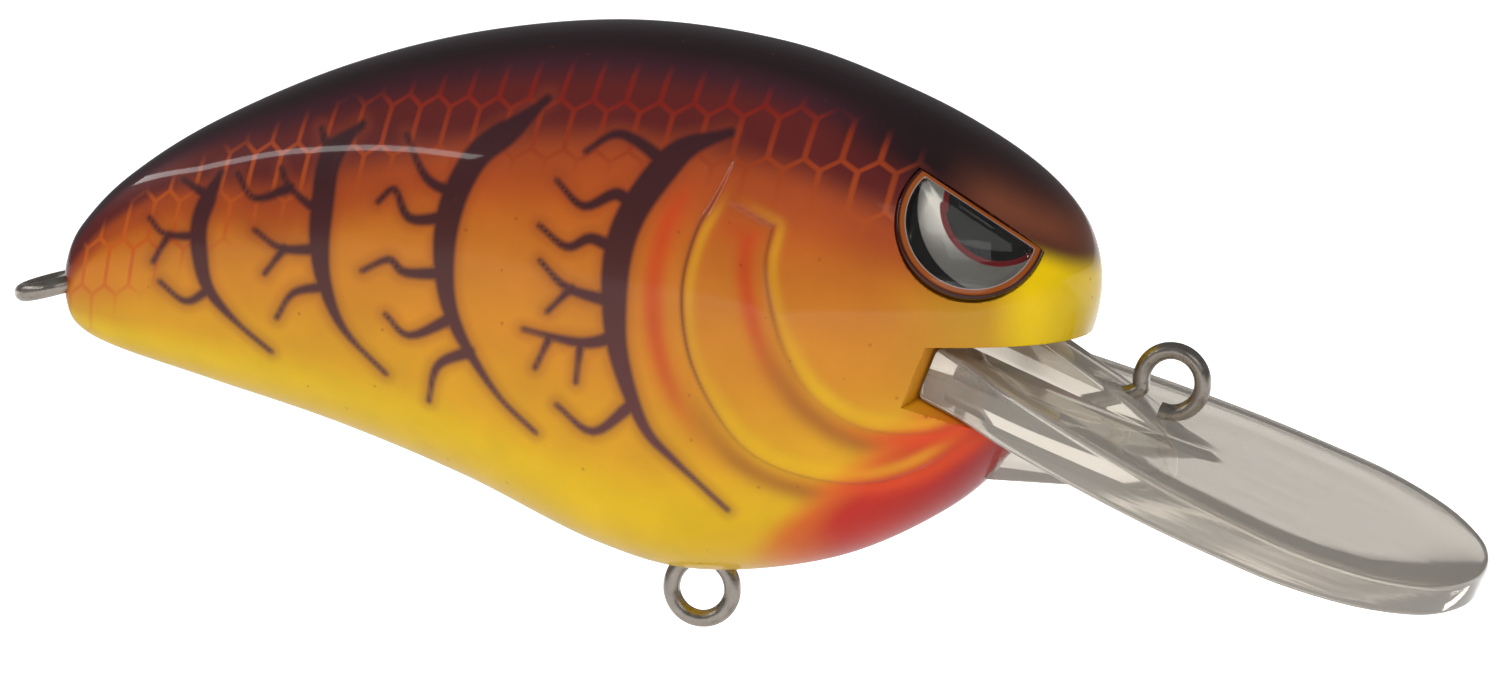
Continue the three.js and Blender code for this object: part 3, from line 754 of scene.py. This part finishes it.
@dataclass(frozen=True)
class Metal:
    """A bare metal whose surface shows how it was made, by its colour, roughness and grain."""

    name: str
    colour: str
    dark: str
    roughness: float
    grain: float  # size of the marks in millimetres

    def build(self) -> bpy.types.Material:
        """Makes the material."""
        material, tree, output = fresh_material(self.name)
        place = add_node(tree, "TexCoord").outputs["Object"]
        marks = noise(tree, place, 1 / (self.grain * MM))
        spread = (self.roughness * 0.8, self.roughness * 1.25)
        return surfaced(
            material, tree, output,
            {
                "Base Color": blend(tree, marks, self.dark, self.colour), "Metallic": 1.0,
                "Roughness": ramp(tree, marks, 0.3, 0.7, spread),
                "Normal": dented(tree, marks, 0.15, 0.02),
            },
        )  # fmt: skip


# Stainless spring wire, drawn: satin grey with a warm cast.
DRAWN_STAINLESS = Metal("drawn stainless wire", "#c9c1b8", "#8d857c", 0.3, 0.5)
# Cast lead: dull grey, soft casting skin.
CAST_LEAD = Metal("cast lead", "#8b8f94", "#5c5f63", 0.55, 0.6)
# Sintered tungsten: dark grey with a fine powder grain.
SINTERED_TUNGSTEN = Metal("sintered tungsten", "#8a8b8e", "#6a6b6e", 0.38, 0.15)
# Bearing steel, ground and polished: bright.
POLISHED_STEEL = Metal("polished bearing steel", "#d4d6d8", "#b5b8bb", 0.12, 0.4)


@dataclass(frozen=True)
class PrintedFoil:
    """Metallised film printed with a black pupil in a red ring, as on moulded lure eyes."""

    name: str = "printed metallised foil"
    pupil: tuple[float, float] = (0.66, 1.47)
    pupil_radius: float = 2.62
    ring: float = 0.28
    silver: tuple[float, float] = (1.0, 1.6)
    silver_radius: float = 4.35
    soft: float = 0.03  # half the width of a printed edge

    def disc(
        self, tree: bpy.types.NodeTree, seat: Socket, centre: tuple[float, float], radius: float
    ) -> Socket:
        """A disc on the eye's face: 1 inside it and 0 outside."""
        away = add_node(tree, "VectorMath", {0: seat, 1: (*centre, 0)}, operation="DISTANCE")
        edges = (radius + self.soft, radius - self.soft)
        return ramp(tree, away.outputs["Value"], *edges, curve="SMOOTHSTEP")

    def build(self) -> bpy.types.Material:
        """Makes the material."""
        material, tree, output = fresh_material(self.name)
        face = add_node(tree, "Attribute", attribute_name="seat")
        flat = add_node(
            tree, "VectorMath", {0: face.outputs["Vector"], 1: (1, 1, 0)}, operation="MULTIPLY"
        ).outputs[0]
        # Outside this offset disc the foil is near black, a dark crescent along the eye's lower left
        # edge; the pupil and its ring are printed over it.
        shine = self.disc(tree, flat, self.silver, self.silver_radius)
        ring = self.disc(tree, flat, self.pupil, self.pupil_radius + self.ring)
        pupil = self.disc(tree, flat, self.pupil, self.pupil_radius)
        place = add_node(tree, "TexCoord").outputs["Object"]
        silver = blend(tree, noise(tree, place, 420.0), "#c9c6c2", "#faf8f4")
        ringed = blend(tree, ring, blend(tree, shine, "#15100f", silver), "#c01a26")
        bare = add_node(tree, "Math", {0: shine, 1: ring}, operation="SUBTRACT", use_clamp=True)
        return surfaced(
            material, tree, output,
            {
                "Base Color": blend(tree, pupil, ringed, "#0a0809"), "Metallic": bare.outputs[0],
                "Roughness": 0.22, "Specular IOR Level": 0.1,
            },
        )  # fmt: skip


@dataclass(frozen=True)
class CastResin:
    """Epoxy resin cast as a dome: water clear in the middle, amber paint under its rim."""

    name: str = "cast clear resin"

    def build(self) -> bpy.types.Material:
        """Makes the material."""
        material, tree, output = fresh_material(self.name)
        rim = add_node(tree, "Attribute", attribute_name="rim").outputs["Fac"]
        band = ramp(tree, rim, 0.46, 0.36, (1.0, 0.0), "SMOOTHSTEP")
        line = ramp(tree, rim, 0.2, 0.08, curve="SMOOTHSTEP")
        amber = blend(tree, line, "#9a4f1c", "#3a140e")
        return surfaced(
            material, tree, output,
            {
                "Base Color": blend(tree, band, amber, "#fdfcf8"), "Roughness": 0.02, "IOR": 1.5,
                "Transmission Weight": ramp(tree, band, 0.0, 1.0, (0.1, 1.0)),
            },
        )  # fmt: skip


@dataclass(frozen=True)
class StudioPaper:
    """Seamless paper: matt, near white, with a faint tooth."""

    name: str = "seamless paper"

    def build(self) -> bpy.types.Material:
        """Makes the material."""
        material, tree, output = fresh_material(self.name)
        place = add_node(tree, "TexCoord").outputs["Object"]
        tone = blend(tree, noise(tree, place, 900.0), "#fafafa", "#fefefe")
        # It glows from 70 mm behind the lure, so that the background is white and unshadowed.
        back = add_node(tree, "SeparateXYZ", {0: place}).outputs["Y"]
        return surfaced(
            material, tree, output,
            {
                "Base Color": tone, "Roughness": 0.9, "Specular IOR Level": 0.1,
                "Emission Color": linear("#ffffff"),
                "Emission Strength": ramp(tree, back, 0.07, 0.13, (0.12, 1.0), "SMOOTHSTEP"),
            },
        )  # fmt: skip


# ---- Pressed forms ---------------------------------------------------------------------


@dataclass(frozen=True)
class Ring:
    """One ring of a pressed form: a share of its outline, an inset and a height."""

    share: float
    inset: float
    height: float
    low: float = 0.0  # 0 measures the height from the top face, 1 from the underside


def pressed(
    outline: np.ndarray, centre: tuple[float, float], rings: list[Ring], segments: int
) -> tuple[bpy.types.Object, np.ndarray]:
    """Presses a ball into a lens or a plate with a drawn outline.

    Args:
        outline: The closed outline's points, as rows of x and y.
        centre: A point from which all of the outline can be seen.
        rings: The form's rings, from the middle of its face to the middle of its underside.
        segments: How many vertices each ring has.

    Returns:
        The form, and for each vertex how far its ring is measured from the underside.
    """
    bpy.ops.object.select_all(action="DESELECT")
    bpy.ops.mesh.primitive_uv_sphere_add(segments=segments, ring_count=len(rings) - 1, radius=1)
    form = bpy.context.object
    ball = positions(form)
    angle = np.arctan2(ball[:, 1], ball[:, 0])
    row = np.rint(np.arccos(np.clip(ball[:, 2], -1, 1)) / math.pi * (len(rings) - 1)).astype(int)
    arms = outline - np.array(centre)
    turns = np.arctan2(arms[:, 1], arms[:, 0])
    order = np.argsort(turns)
    reach = np.interp(angle, turns[order], np.hypot(*arms.T)[order], period=2 * math.pi)
    table = np.array([(r.share, r.inset, r.height, r.low) for r in rings])[row]
    out = np.maximum(0, table[:, 0] * reach - table[:, 1] * (table[:, 0] > 0))
    places = np.column_stack(
        [centre[0] + out * np.cos(angle), centre[1] + out * np.sin(angle), table[:, 2]]
    )
    set_positions(form, places)
    return form, table[:, 3]


# ---- The painted body ------------------------------------------------------------------


@dataclass
class LipFrame:
    """The diving lip's own frame, drawn flat and then drooped below the nose."""

    angle: float = 21.8
    tie_along: float = 11.1
    tie_above: float = 2.3

    def place(self, along: np.ndarray, above: np.ndarray) -> tuple[np.ndarray, np.ndarray]:
        """Turns a place along and above the lip's top face into x and z."""
        c, s = math.cos(math.radians(self.angle)), math.sin(math.radians(self.angle))
        u, w = along - self.tie_along, above - self.tie_above
        return u * c + w * s, w * c - u * s

    def matrix(self) -> Matrix:
        """Carries a piece drawn flat, with z up from the top face, into place."""
        x, z = self.place(0.0, 0.0)
        return Matrix.Translation((x, 0, z)) @ Matrix.Rotation(math.radians(self.angle), 4, "Y")


LIP = LipFrame()


def side_plate(outline: list[tuple[float, float]], width: float) -> bpy.types.Object:
    """A plate drawn in the side view and centred on the middle plane."""
    bpy.ops.object.select_all(action="DESELECT")
    bpy.ops.mesh.primitive_circle_add(vertices=len(outline), fill_type="NGON")
    plate = bpy.context.object
    set_positions(plate, np.array([(x, -width / 2, z) for x, z in outline]))
    bpy.ops.object.mode_set(mode="EDIT")
    bpy.ops.mesh.select_all(action="SELECT")
    bpy.ops.mesh.extrude_region_move(TRANSFORM_OT_translate={"value": (0, width, 0)})
    bpy.ops.object.mode_set(mode="OBJECT")
    face_outwards(plate)
    return plate


@dataclass
class EyeSeat:
    """Where a moulded eye sits: its face looks out of the skin, its brow drops to the nose."""

    side: Side
    station: float = 0.778
    turn: float = 38.5
    tilt: float = 26.0
    radius: float = 3.85
    brow: float = 0.95

    def matrix(self) -> Matrix:
        """Carries a piece drawn with z out of the skin into place."""
        station, turn = np.array([self.station]), np.array([math.radians(self.turn)])
        at = Vector(SKIN.place(station, turn)[0])
        out = Vector(SKIN.normal(station, turn)[0]).normalized()
        along = (Vector((1, 0, 0)) - out * out.x).normalized()
        up = out.cross(along)
        up = -up if up.z < 0 else up
        basis = Matrix((along, up, out)).transposed().to_4x4()
        seated = Matrix.Translation(at) @ basis @ Matrix.Rotation(-math.radians(self.tilt), 4, "Z")
        return Matrix.Diagonal((1, self.side.value, 1, 1)) @ seated

    def outline(self, grow: float = 0.0) -> np.ndarray:
        """The eye's outline: a disc cut off by the straight brow."""
        radius, brow = self.radius + grow, self.brow + grow
        half = math.acos(brow / radius)
        sweep = np.linspace(math.pi / 2 + half, 2.5 * math.pi - half, 241)
        arc = np.column_stack([radius * np.cos(sweep), radius * np.sin(sweep)])
        top = np.linspace(arc[-1], arc[0], 60)[1:-1]
        return np.vstack([arc, top])

    def form(self, rings: list[Ring], grow: float = 0.0) -> tuple[bpy.types.Object, np.ndarray]:
        """Presses a form with the eye's outline and seats it.

        Args:
            rings: The form's rings.
            grow: How much larger than the eye it is, all round.

        Returns:
            The form and its vertices in the eye's own frame.
        """
        form, _ = pressed(self.outline(grow), (0.0, -1.1), rings, 160)
        flat = positions(form)
        form.data.transform(self.matrix())
        face_outwards(form)
        return form, flat


@dataclass
class BodyShell:
    """One painted half of the body, with its gill relief, mouth, eye socket and chambers."""

    side: Side
    rings: int = 370
    sides: int = 228
    seam: float = 0.1  # degrees of the narrow row of faces along the seam
    mouth_fit: float = 0.22
    mouth_roof: float = 2.3
    lip_thick: float = 2.9
    socket_depth: float = 1.1

    def ball(self, rings: int, sides: int) -> bpy.types.Object:
        """Half of a ball with its poles at the nose and the tail, closed on the seam."""
        bpy.ops.object.select_all(action="DESELECT")
        bpy.ops.mesh.primitive_uv_sphere_add(
            segments=2 * sides, ring_count=rings, radius=1, rotation=(0, math.pi / 2, 0)
        )
        bpy.ops.object.transform_apply(location=False, rotation=True, scale=False)
        half = bpy.context.object
        bpy.ops.object.mode_set(mode="EDIT")
        bpy.ops.mesh.select_all(action="SELECT")
        bpy.ops.mesh.bisect(
            plane_co=(0, 0, 0), plane_no=(0, 1, 0), use_fill=True,
            clear_inner=self.side is Side.LEFT, clear_outer=self.side is Side.RIGHT, threshold=1e-4,
        )  # fmt: skip
        bpy.ops.object.mode_set(mode="OBJECT")
        return half

    def stations(self, rings: int) -> np.ndarray:
        """Stations of the rings, evenly spaced along the body and closer at the head."""
        station = np.linspace(0, 1, 800)
        middle = SKIN.place(station, np.full(800, 0.3))
        gap = np.linalg.norm(np.diff(middle, axis=0), axis=1)
        gap *= 1 + 0.9 * smooth(-32, -22, middle[1:, 0])
        run = np.concatenate([[0], np.cumsum(gap)])
        return np.interp(np.linspace(0, run[-1], rings + 1), run, station)

    def press(self, half: bpy.types.Object, rings: int, inset: float, relief: bool) -> None:
        """Presses the half ball to the skin, or to a surface inside it."""
        ball = positions(half)
        row = np.arccos(np.clip(-ball[:, 0], -1, 1)) / math.pi * rings
        station = np.interp(row, np.arange(rings + 1), self.stations(rings))
        turn = np.arctan2(ball[:, 2], np.abs(ball[:, 1]))
        step = math.pi / 2 / (self.sides / 2)
        edge = math.pi / 2 - math.radians(self.seam)
        seam = np.abs(np.abs(turn) - math.pi / 2) < 1e-4
        first = np.abs(np.abs(turn) - (math.pi / 2 - step)) < 1e-4
        turn = np.where(first, np.sign(turn) * edge, turn)
        turn = np.where(seam, np.sign(turn) * math.pi / 2, turn)
        places = SKIN.place(station, turn, inset)
        if relief:
            out = SKIN.normal(station, np.clip(turn, -1.55, 1.55))
            places += out * gill_relief(places[:, 0], places[:, 2])[:, None]
        places[:, 1] = np.where(seam, 0, np.maximum(places[:, 1], 0)) * self.side.value
        set_positions(half, places)

    def mouth(self) -> bpy.types.Object:
        """The open mouth: the lip's underside, its rear edge and a level roof."""
        fit, ahead = self.mouth_fit, 60.0
        rear_x, rear_z = LIP.place(-fit, fit)
        corners = [
            LIP.place(-fit, -self.lip_thick - fit),
            (rear_x, rear_z),
            (rear_x, self.mouth_roof + 0.02),
            (40.0, self.mouth_roof + 0.02),
            LIP.place(ahead, -self.lip_thick + ahead / 29.7 - fit),
        ]
        return side_plate(corners, 40.0)

    def hollow(self, cad: bpy.types.Object) -> bpy.types.Object:
        """The room inside the CAD half: its chambers, bores and pin holes."""
        rings, sides, inset = 60, 40, 0.55
        room = self.ball(rings, sides)
        BodyShell(self.side, rings, sides).press(room, rings, inset, False)
        solid = cad.copy()
        solid.data = cad.data.copy()
        bpy.context.scene.collection.objects.link(solid)
        solid.parent = None
        solid.data.transform(Matrix.Scale(1 / MM, 4))
        pick(solid)
        bpy.ops.object.mode_set(mode="EDIT")
        bpy.ops.mesh.select_all(action="SELECT")
        bpy.ops.mesh.remove_doubles(threshold=2e-4)
        bpy.ops.object.mode_set(mode="OBJECT")
        carve(room, solid)
        # The room runs past the seam, so that it leaves no film across it.
        places = positions(room)
        near = np.abs(places[:, 1]) < 0.05
        places[near, 1] = -0.3 * self.side.value
        set_positions(room, places)
        return room

    def build(self, cad: bpy.types.Object) -> bpy.types.Object:
        """Makes the half.

        Args:
            cad: The CAD node of the same half.

        Returns:
            The finished mesh with its paint attributes.
        """
        shell = self.ball(self.rings, self.sides)
        self.press(shell, self.rings, 0, True)
        face_outwards(shell)
        carve(shell, self.hollow(cad))
        carve(shell, self.mouth())
        seat = EyeSeat(self.side)
        floor = -self.socket_depth
        above = 4  # the cutter ends well outside the skin
        rings = [Ring(share, 0, above) for share in (0, 0.5, 1)]
        rings += [Ring(share, 0, floor) for share in (1, 0.5, 0)]
        socket, _ = seat.form(rings, 0.12)
        carve(shell, socket)
        # The sprayed colours go in with the gills' painted shade and painted highlights.
        brush = Airbrush(positions(shell))
        store(shell, "coat", brush.painted(), "FLOAT_COLOR")
        store(shell, "scales", brush.scales(), "FLOAT_VECTOR")
        store(shell, "stripe", brush.stripes())
        return finish_mesh(shell, f"painted_shell_{self.side.word}", 40)


# ---- Eyes ------------------------------------------------------------------------------


@dataclass
class MouldedEye:
    """A printed foil under a clear resin dome."""

    side: Side
    foil_floor: float = -1.05
    foil_thick: float = 0.3
    edge: float = 0.5
    crown: float = 0.75
    gap: float = 0.05

    def foil(self) -> bpy.types.Object:
        """The foil: a thin plate with a rolled edge."""
        top, low = self.foil_floor + self.foil_thick, self.foil_floor
        rings = [Ring(share, 0, top) for share in (0, 0.3, 0.6, 0.85)]
        rings += [Ring(1, 0.2, top), Ring(1, 0.12, top - 0.02), Ring(1, 0.05, top - 0.1)]
        rings += [Ring(1, 0.05, low), Ring(0.5, 0, low), Ring(0, 0, low)]
        plate, flat = EyeSeat(self.side).form(rings)
        store(plate, "seat", flat, "FLOAT_VECTOR")
        return finish_mesh(plate, f"printed_eye_{self.side.word}")

    def dome(self) -> bpy.types.Object:
        """The dome: a low crown with a rounded shoulder."""
        low = self.foil_floor + self.foil_thick + self.gap
        shoulder = low + self.edge
        rings = []
        for share in np.linspace(0, 0.9, 14):
            rings.append(Ring(share, 0, shoulder + self.crown * (1 - share**2)))
        for turn in np.linspace(0, 90, 7):
            bend = math.radians(turn)
            drop = 0.16 * (1 - math.cos(bend))
            rings.append(Ring(1, 0.2 * (1 - math.sin(bend)), shoulder + 0.1 - drop))
        rings += [Ring(1, 0, low + 0.05), Ring(1, 0.05, low)]
        rings += [Ring(share, 0, low) for share in (0.6, 0.3, 0)]
        seat = EyeSeat(self.side)
        lens, flat = seat.form(rings, 0.04)
        reach = np.hypot(flat[:, 0], flat[:, 1])
        inside = np.minimum(seat.radius - reach, seat.brow + 0.2 - flat[:, 1])
        store(lens, "rim", inside)
        return finish_mesh(lens, f"resin_dome_{self.side.word}", 50)


# ---- Diving lip ------------------------------------------------------------------------


@dataclass
class DivingLip:
    """The clear lip: a tapered blade, a web under the nose and a keel in the jaw."""

    length: float = 29.7
    width: float = 22.2
    thick: float = 2.9
    tip_thick: float = 1.9
    web_width: float = 3.6
    keel_width: float = 2.6
    round_edge: float = 0.4
    outline: tuple[tuple[float, float], ...] = field(
        default=(
            (0, 0.414), (0.084, 0.505), (0.168, 0.649), (0.327, 0.829), (0.48, 0.95),
            (0.62, 1), (0.74, 1), (0.86, 0.856), (0.945, 0.6), (0.985, 0.33), (1, 0),
        )
    )  # fmt: skip

    def edge(self) -> np.ndarray:
        """The blade's outline seen from above, with a straight rear edge."""
        half = np.array(self.outline) * (self.length, self.width / 2)
        whole = [*half, *[(u, -v) for u, v in half[-2::-1]]]
        line = softened([tuple(p) for p in whole], 12)
        rear = np.linspace(line[-1], line[0], 30)[1:-1]
        return np.vstack([line, rear])

    def blade(self) -> bpy.types.Object:
        """The blade, drawn flat with rounded edges and then drooped into place."""
        r = self.round_edge
        rings = [Ring(s, 0, 0) for s in (0, 0.25, 0.5, 0.75)]
        turns = np.radians(np.linspace(0, 90, 6))
        rings += [Ring(1, r * (1 - math.sin(t)), r * (math.cos(t) - 1)) for t in turns]
        rings += [Ring(1, r * (1 - math.sin(t)), r * (1 - math.cos(t)), 1) for t in turns[::-1]]
        rings += [Ring(s, 0, 0, 1) for s in (0.75, 0.5, 0.25, 0)]
        plate, low = pressed(self.edge(), (15.5, 0), rings, 240)
        places = positions(plate)
        thickness = self.thick + (self.tip_thick - self.thick) * places[:, 0] / self.length
        places[:, 2] -= low * thickness
        set_positions(plate, places)
        plate.data.transform(LIP.matrix())
        face_outwards(plate)
        return plate

    def bevelled(self, plate: bpy.types.Object, size: float) -> bpy.types.Object:
        """Rounds the edges of a side plate."""
        pick(plate)
        modifier = plate.modifiers.new("round", "BEVEL")
        modifier.width, modifier.segments, modifier.limit_method = size, 3, "ANGLE"
        bpy.ops.object.modifier_apply(modifier=modifier.name)
        return plate

    def glue(self) -> bpy.types.Object:
        """The lump of clear glue where the line tie's shank leaves the blade."""
        sweep = np.linspace(0, 2 * math.pi, 97)[:-1]
        lumps = 1 + 0.1 * np.sin(3 * sweep + 0.6) + 0.06 * np.sin(7 * sweep)
        edge = np.column_stack([8.4 + 2.4 * lumps * np.cos(sweep), 1.5 * lumps * np.sin(sweep)])
        rings = [Ring(s, 0, 0.55 * math.sqrt(1 - s * s) - 0.05) for s in np.linspace(0, 1, 9)]
        rings += [Ring(1, 0.05, -0.4), Ring(0.5, 0, -0.4), Ring(0, 0, -0.4)]
        lump, _ = pressed(edge, (8.4, 0), rings, 64)
        lump.data.transform(LIP.matrix())
        face_outwards(lump)
        return lump

    def build(self) -> bpy.types.Object:
        """Makes the lip."""
        lip = self.blade()
        start_x, _ = LIP.place(1.2, 0)
        web = side_plate(
            [
                LIP.place(0.6, -1), LIP.place(0.6, 0.05), (start_x, 2.1), (-6.5, 2.1),
                LIP.place(8.3, 1.1), LIP.place(10, 0.7), LIP.place(13, -0.2), LIP.place(12, -1),
            ],
            self.web_width,
        )  # fmt: skip
        keel = side_plate(
            [LIP.place(1.6, -1.9), LIP.place(15, -2.1), LIP.place(3.6, -6.5), LIP.place(1.6, -5.9)],
            self.keel_width,
        )
        carve(lip, self.bevelled(web, 0.25), "UNION")
        carve(lip, self.bevelled(keel, 0.25), "UNION")
        carve(lip, self.glue(), "UNION")
        return finish_mesh(lip, "clear_lip", 30)


# ---- Wire eyes -------------------------------------------------------------------------

# The middles of the two hook rings, as x and z.
BELLY_EYE = (-24.8, -12.043)
TAIL_EYE = (-59.7, 2.0)


@dataclass
class WireEye:
    """Bent stainless wire: rings that a line or a hook ring passes through."""

    wire: float = 0.9
    bore: float = 2.34
    leg_gap: float = 0.15
    foot: float = 1.3

    @property
    def radius(self) -> float:
        """The radius of the ring's own line."""
        return (self.bore + self.wire) / 2

    def arc(self, start: float, end: float) -> list[tuple[float, float]]:
        """Points of the ring between two angles in degrees."""
        sweep = np.radians(np.linspace(start, end, int(abs(end - start) / 5) + 1))
        return [(self.radius * math.cos(a), self.radius * math.sin(a)) for a in sweep]

    def hanger(self, legs: float) -> list[tuple[float, float]]:
        """A flat hook hanger: feet, two legs along +x and the ring round the origin."""
        apart = (self.wire + self.leg_gap) / 2
        neck = self.radius + 0.6
        reach = legs + self.radius
        feet = [(reach - 0.1, apart + self.foot), (reach - 0.15, apart + 0.3), (reach - 0.5, apart)]
        half = [*softened(feet, 5), ((reach + neck) / 2, apart), (neck, apart)]
        mirrored = [(x, -y) for x, y in half[::-1]]
        return [*half, *softened([(neck, apart), *self.arc(40, 60)], 3)[1:-1], *self.arc(60, 300),
                *softened([*self.arc(300, 320), (neck, -apart)], 3)[1:-1], *mirrored]  # fmt: skip

    def bent(self, name: str, route: list[tuple[float, float, float]]) -> bpy.types.Object:
        """Draws the wire along a route and turns it into a mesh."""
        curve = bpy.data.curves.new(name, "CURVE")
        curve.dimensions = "3D"
        line = curve.splines.new("POLY")
        line.points.add(len(route) - 1)
        for point, place in zip(line.points, route):
            point.co = (*place, 1)
        curve.bevel_depth = self.wire / 2
        curve.bevel_resolution = 6
        curve.use_fill_caps = True
        drawn = bpy.data.objects.new(name, curve)
        bpy.context.scene.collection.objects.link(drawn)
        pick(drawn)
        bpy.ops.object.convert(target="MESH")
        bent = bpy.context.object
        bpy.ops.object.mode_set(mode="EDIT")
        bpy.ops.mesh.select_all(action="SELECT")
        bpy.ops.mesh.remove_doubles(threshold=1e-4)
        bpy.ops.object.mode_set(mode="OBJECT")
        face_outwards(bent)
        return finish_mesh(bent, name, 60)

    def line_tie(self) -> bpy.types.Object:
        """The line tie: a shank through the lip and a ring above it."""
        marks = [
            (1.6, -1.45), (4, -1.45), (6, -1.35), (7.2, -0.75),
            (8.1, -0.1), (8.85, 0.5), (9.35, 0.85), (9.7, 1.25),
        ]  # fmt: skip
        shank = [LIP.place(a, b) for a, b in marks]
        whole = [*softened([*shank, *self.arc(187.5, 177.5)], 4)[:-1], *self.arc(177.5, -112.5)]
        return self.bent("line_tie_wire", [(x, 0, z) for x, z in whole])

    def belly(self, x: float, z: float, legs: float = 4.6) -> bpy.types.Object:
        """The belly hanger stands in the middle plane with its legs up."""
        return self.bent("belly_hanger_wire", [(x + b, 0, z + a) for a, b in self.hanger(legs)])

    def tail(self, x: float, z: float, legs: float = 5.2, droop: float = 15) -> bpy.types.Object:
        """The tail hanger lies across the middle plane and droops to the rear."""
        c, s = math.cos(math.radians(droop)), math.sin(math.radians(droop))
        route = [(x + a * c, b, z + a * s) for a, b in self.hanger(legs)]
        return self.bent("tail_hanger_wire", route)


# ---- Studio ----------------------------------------------------------------------------


@dataclass
class Studio:
    """A white table and soft boxes, with a long lens at the lure's side."""

    turn: float = 15.0  # degrees from square-on towards the nose
    lift: float = 10.0
    lens: float = 500.0
    roll: float = 0.35
    view_width: float = 76.61  # millimetres across the view at the lure
    tie_right: float = 21.57  # the line tie, right of the view's middle
    tie_below: float = 1.974  # and below it
    floor_drop: float = 42.0
    lure_middle: tuple[float, float, float] = (-0.02, 0.0, 0.003)  # in metres

    def camera(self) -> None:
        """Adds the camera."""
        a, e = math.radians(self.turn), math.radians(self.lift)
        towards = Vector((math.sin(a) * math.cos(e), -math.cos(a) * math.cos(e), math.sin(e)))
        right = Vector((math.cos(a), math.sin(a), 0))
        up = towards.cross(right)
        distance = self.view_width * self.lens / 36
        aim = -right * self.tie_right + up * self.tie_below
        data = bpy.data.cameras.new("camera")
        data.lens, data.sensor_width = self.lens, 36
        data.clip_start, data.clip_end = 0.01, 20
        camera = bpy.data.objects.new("camera", data)
        bpy.context.scene.collection.objects.link(camera)
        turn = Matrix((right, up, towards)).transposed().to_4x4()
        turn @= Matrix.Rotation(math.radians(self.roll), 4, "Z")
        camera.matrix_world = Matrix.Translation((aim + towards * distance) * MM) @ turn
        bpy.context.scene.camera = camera

    def softbox(
        self,
        name: str,
        place: tuple[float, float, float],
        size: tuple[float, float],
        power: float,
        mirrored: bool,
    ) -> None:
        """Adds a rectangular light that looks at the lure's middle.

        Args:
            name: The light's name.
            place: Where it stands, in metres.
            size: Its width and height in metres.
            power: Its power in watts.
            mirrored: Whether glossy surfaces show its reflection.
        """
        data = bpy.data.lights.new(name, "AREA")
        data.shape, data.size, data.size_y = "RECTANGLE", size[0], size[1]
        data.energy = power
        box = bpy.data.objects.new(name, data)
        box.visible_glossy = box.visible_transmission = mirrored
        bpy.context.scene.collection.objects.link(box)
        at = Vector(place)
        look = Vector(self.lure_middle) - at
        box.matrix_world = Matrix.Translation(at) @ look.to_track_quat("-Z", "Y").to_matrix().to_4x4()

    def build(self) -> None:
        """Builds the whole studio."""
        self.camera()
        bpy.ops.object.select_all(action="DESELECT")
        bpy.ops.mesh.primitive_grid_add(
            x_subdivisions=8, y_subdivisions=8, size=16, location=(0, 0, -self.floor_drop * MM)
        )
        table = bpy.context.object
        table.name = "studio_table"
        bpy.ops.object.transform_apply(location=True)
        dress(table, StudioPaper().build())
        self.softbox("top_box", (-0.05, 0.05, 0.6), (0.5, 0.35), 1.3, False)
        self.softbox("front_box", (0.1, -0.6, 0.25), (0.45, 0.35), 2.1, False)
        self.softbox("strip_box", (-0.75, -0.22, 0.5), (1.4, 0.035), 1.3, True)
        self.softbox("white_card", (0.33, -0.58, 0.34), (0.4, 0.26), 0.3, True)
        world = bpy.data.worlds.new("white room")
        bpy.context.scene.world = world
        world.use_nodes = True
        sky = world.node_tree.nodes["Background"]
        sky.inputs["Color"].default_value = linear("#ffffff")
        sky.inputs["Strength"].default_value = 0.16
        bpy.context.scene.view_settings.view_transform = "Standard"


# ---- Assembly --------------------------------------------------------------------------


@dataclass
class Crankbait:
    """The whole lure, built round its CAD frame."""

    nodes: dict[str, bpy.types.Object]
    body: str = "lure_body"

    def add(self, piece: bpy.types.Object, material: bpy.types.Material, slot: str, *nodes: str) -> None:
        """Dresses a new piece, hangs it on the body and hides the CAD nodes that it replaces.

        Args:
            piece: The finished piece.
            material: Its finish.
            slot: The record's material slot; not used.
            nodes: The CAD nodes that it replaces.
        """
        dress(piece, material)
        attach(piece, self.body)
        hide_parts(*nodes)

    def shells(self) -> None:
        """The two painted halves."""
        lacquer = AirbrushedLacquer().build()
        for side in Side:
            name = f"body_shell_{side.word}"
            self.add(BodyShell(side).build(self.nodes[name]), lacquer, "painted_body", name)

    def eyes(self) -> None:
        """Both moulded eyes."""
        foil, resin = PrintedFoil().build(), CastResin().build()
        for side in Side:
            eye = MouldedEye(side)
            self.add(eye.foil(), foil, "eye_foil", f"eye_foil_{side.word}")
            self.add(eye.dome(), resin, "eye_dome", f"eye_dome_{side.word}")

    def hardware(self) -> None:
        """The lip and the three wire eyes."""
        self.add(DivingLip().build(), MouldedPolycarbonate().build(), "clear_lip", "diving_lip")
        wire, steel = WireEye(), DRAWN_STAINLESS.build()
        self.add(wire.line_tie(), steel, "wire", "line_tie")
        self.add(wire.belly(*BELLY_EYE), steel, "wire", "belly_hook_hanger")
        self.add(wire.tail(*TAIL_EYE), steel, "wire", "tail_hook_hanger")

    def loose_parts(self) -> None:
        """The ballast and the loose balls keep their CAD shapes."""
        dress(self.nodes["belly_ballast"], CAST_LEAD.build())
        dress(self.nodes["knocker_ball"], SINTERED_TUNGSTEN.build())
        steel = POLISHED_STEEL.build()
        for name, node in self.nodes.items():
            if "rattle" in name:
                dress(node, steel)


def main() -> None:
    """Builds the lure and its studio."""
    logging.basicConfig(level=logging.INFO, format="%(name)s: %(message)s")
    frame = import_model()
    lure = Crankbait(frame["nodes"])
    lure.shells()
    lure.eyes()
    lure.hardware()
    lure.loose_parts()
    Studio().build()


if __name__ == "__main__":
    main()
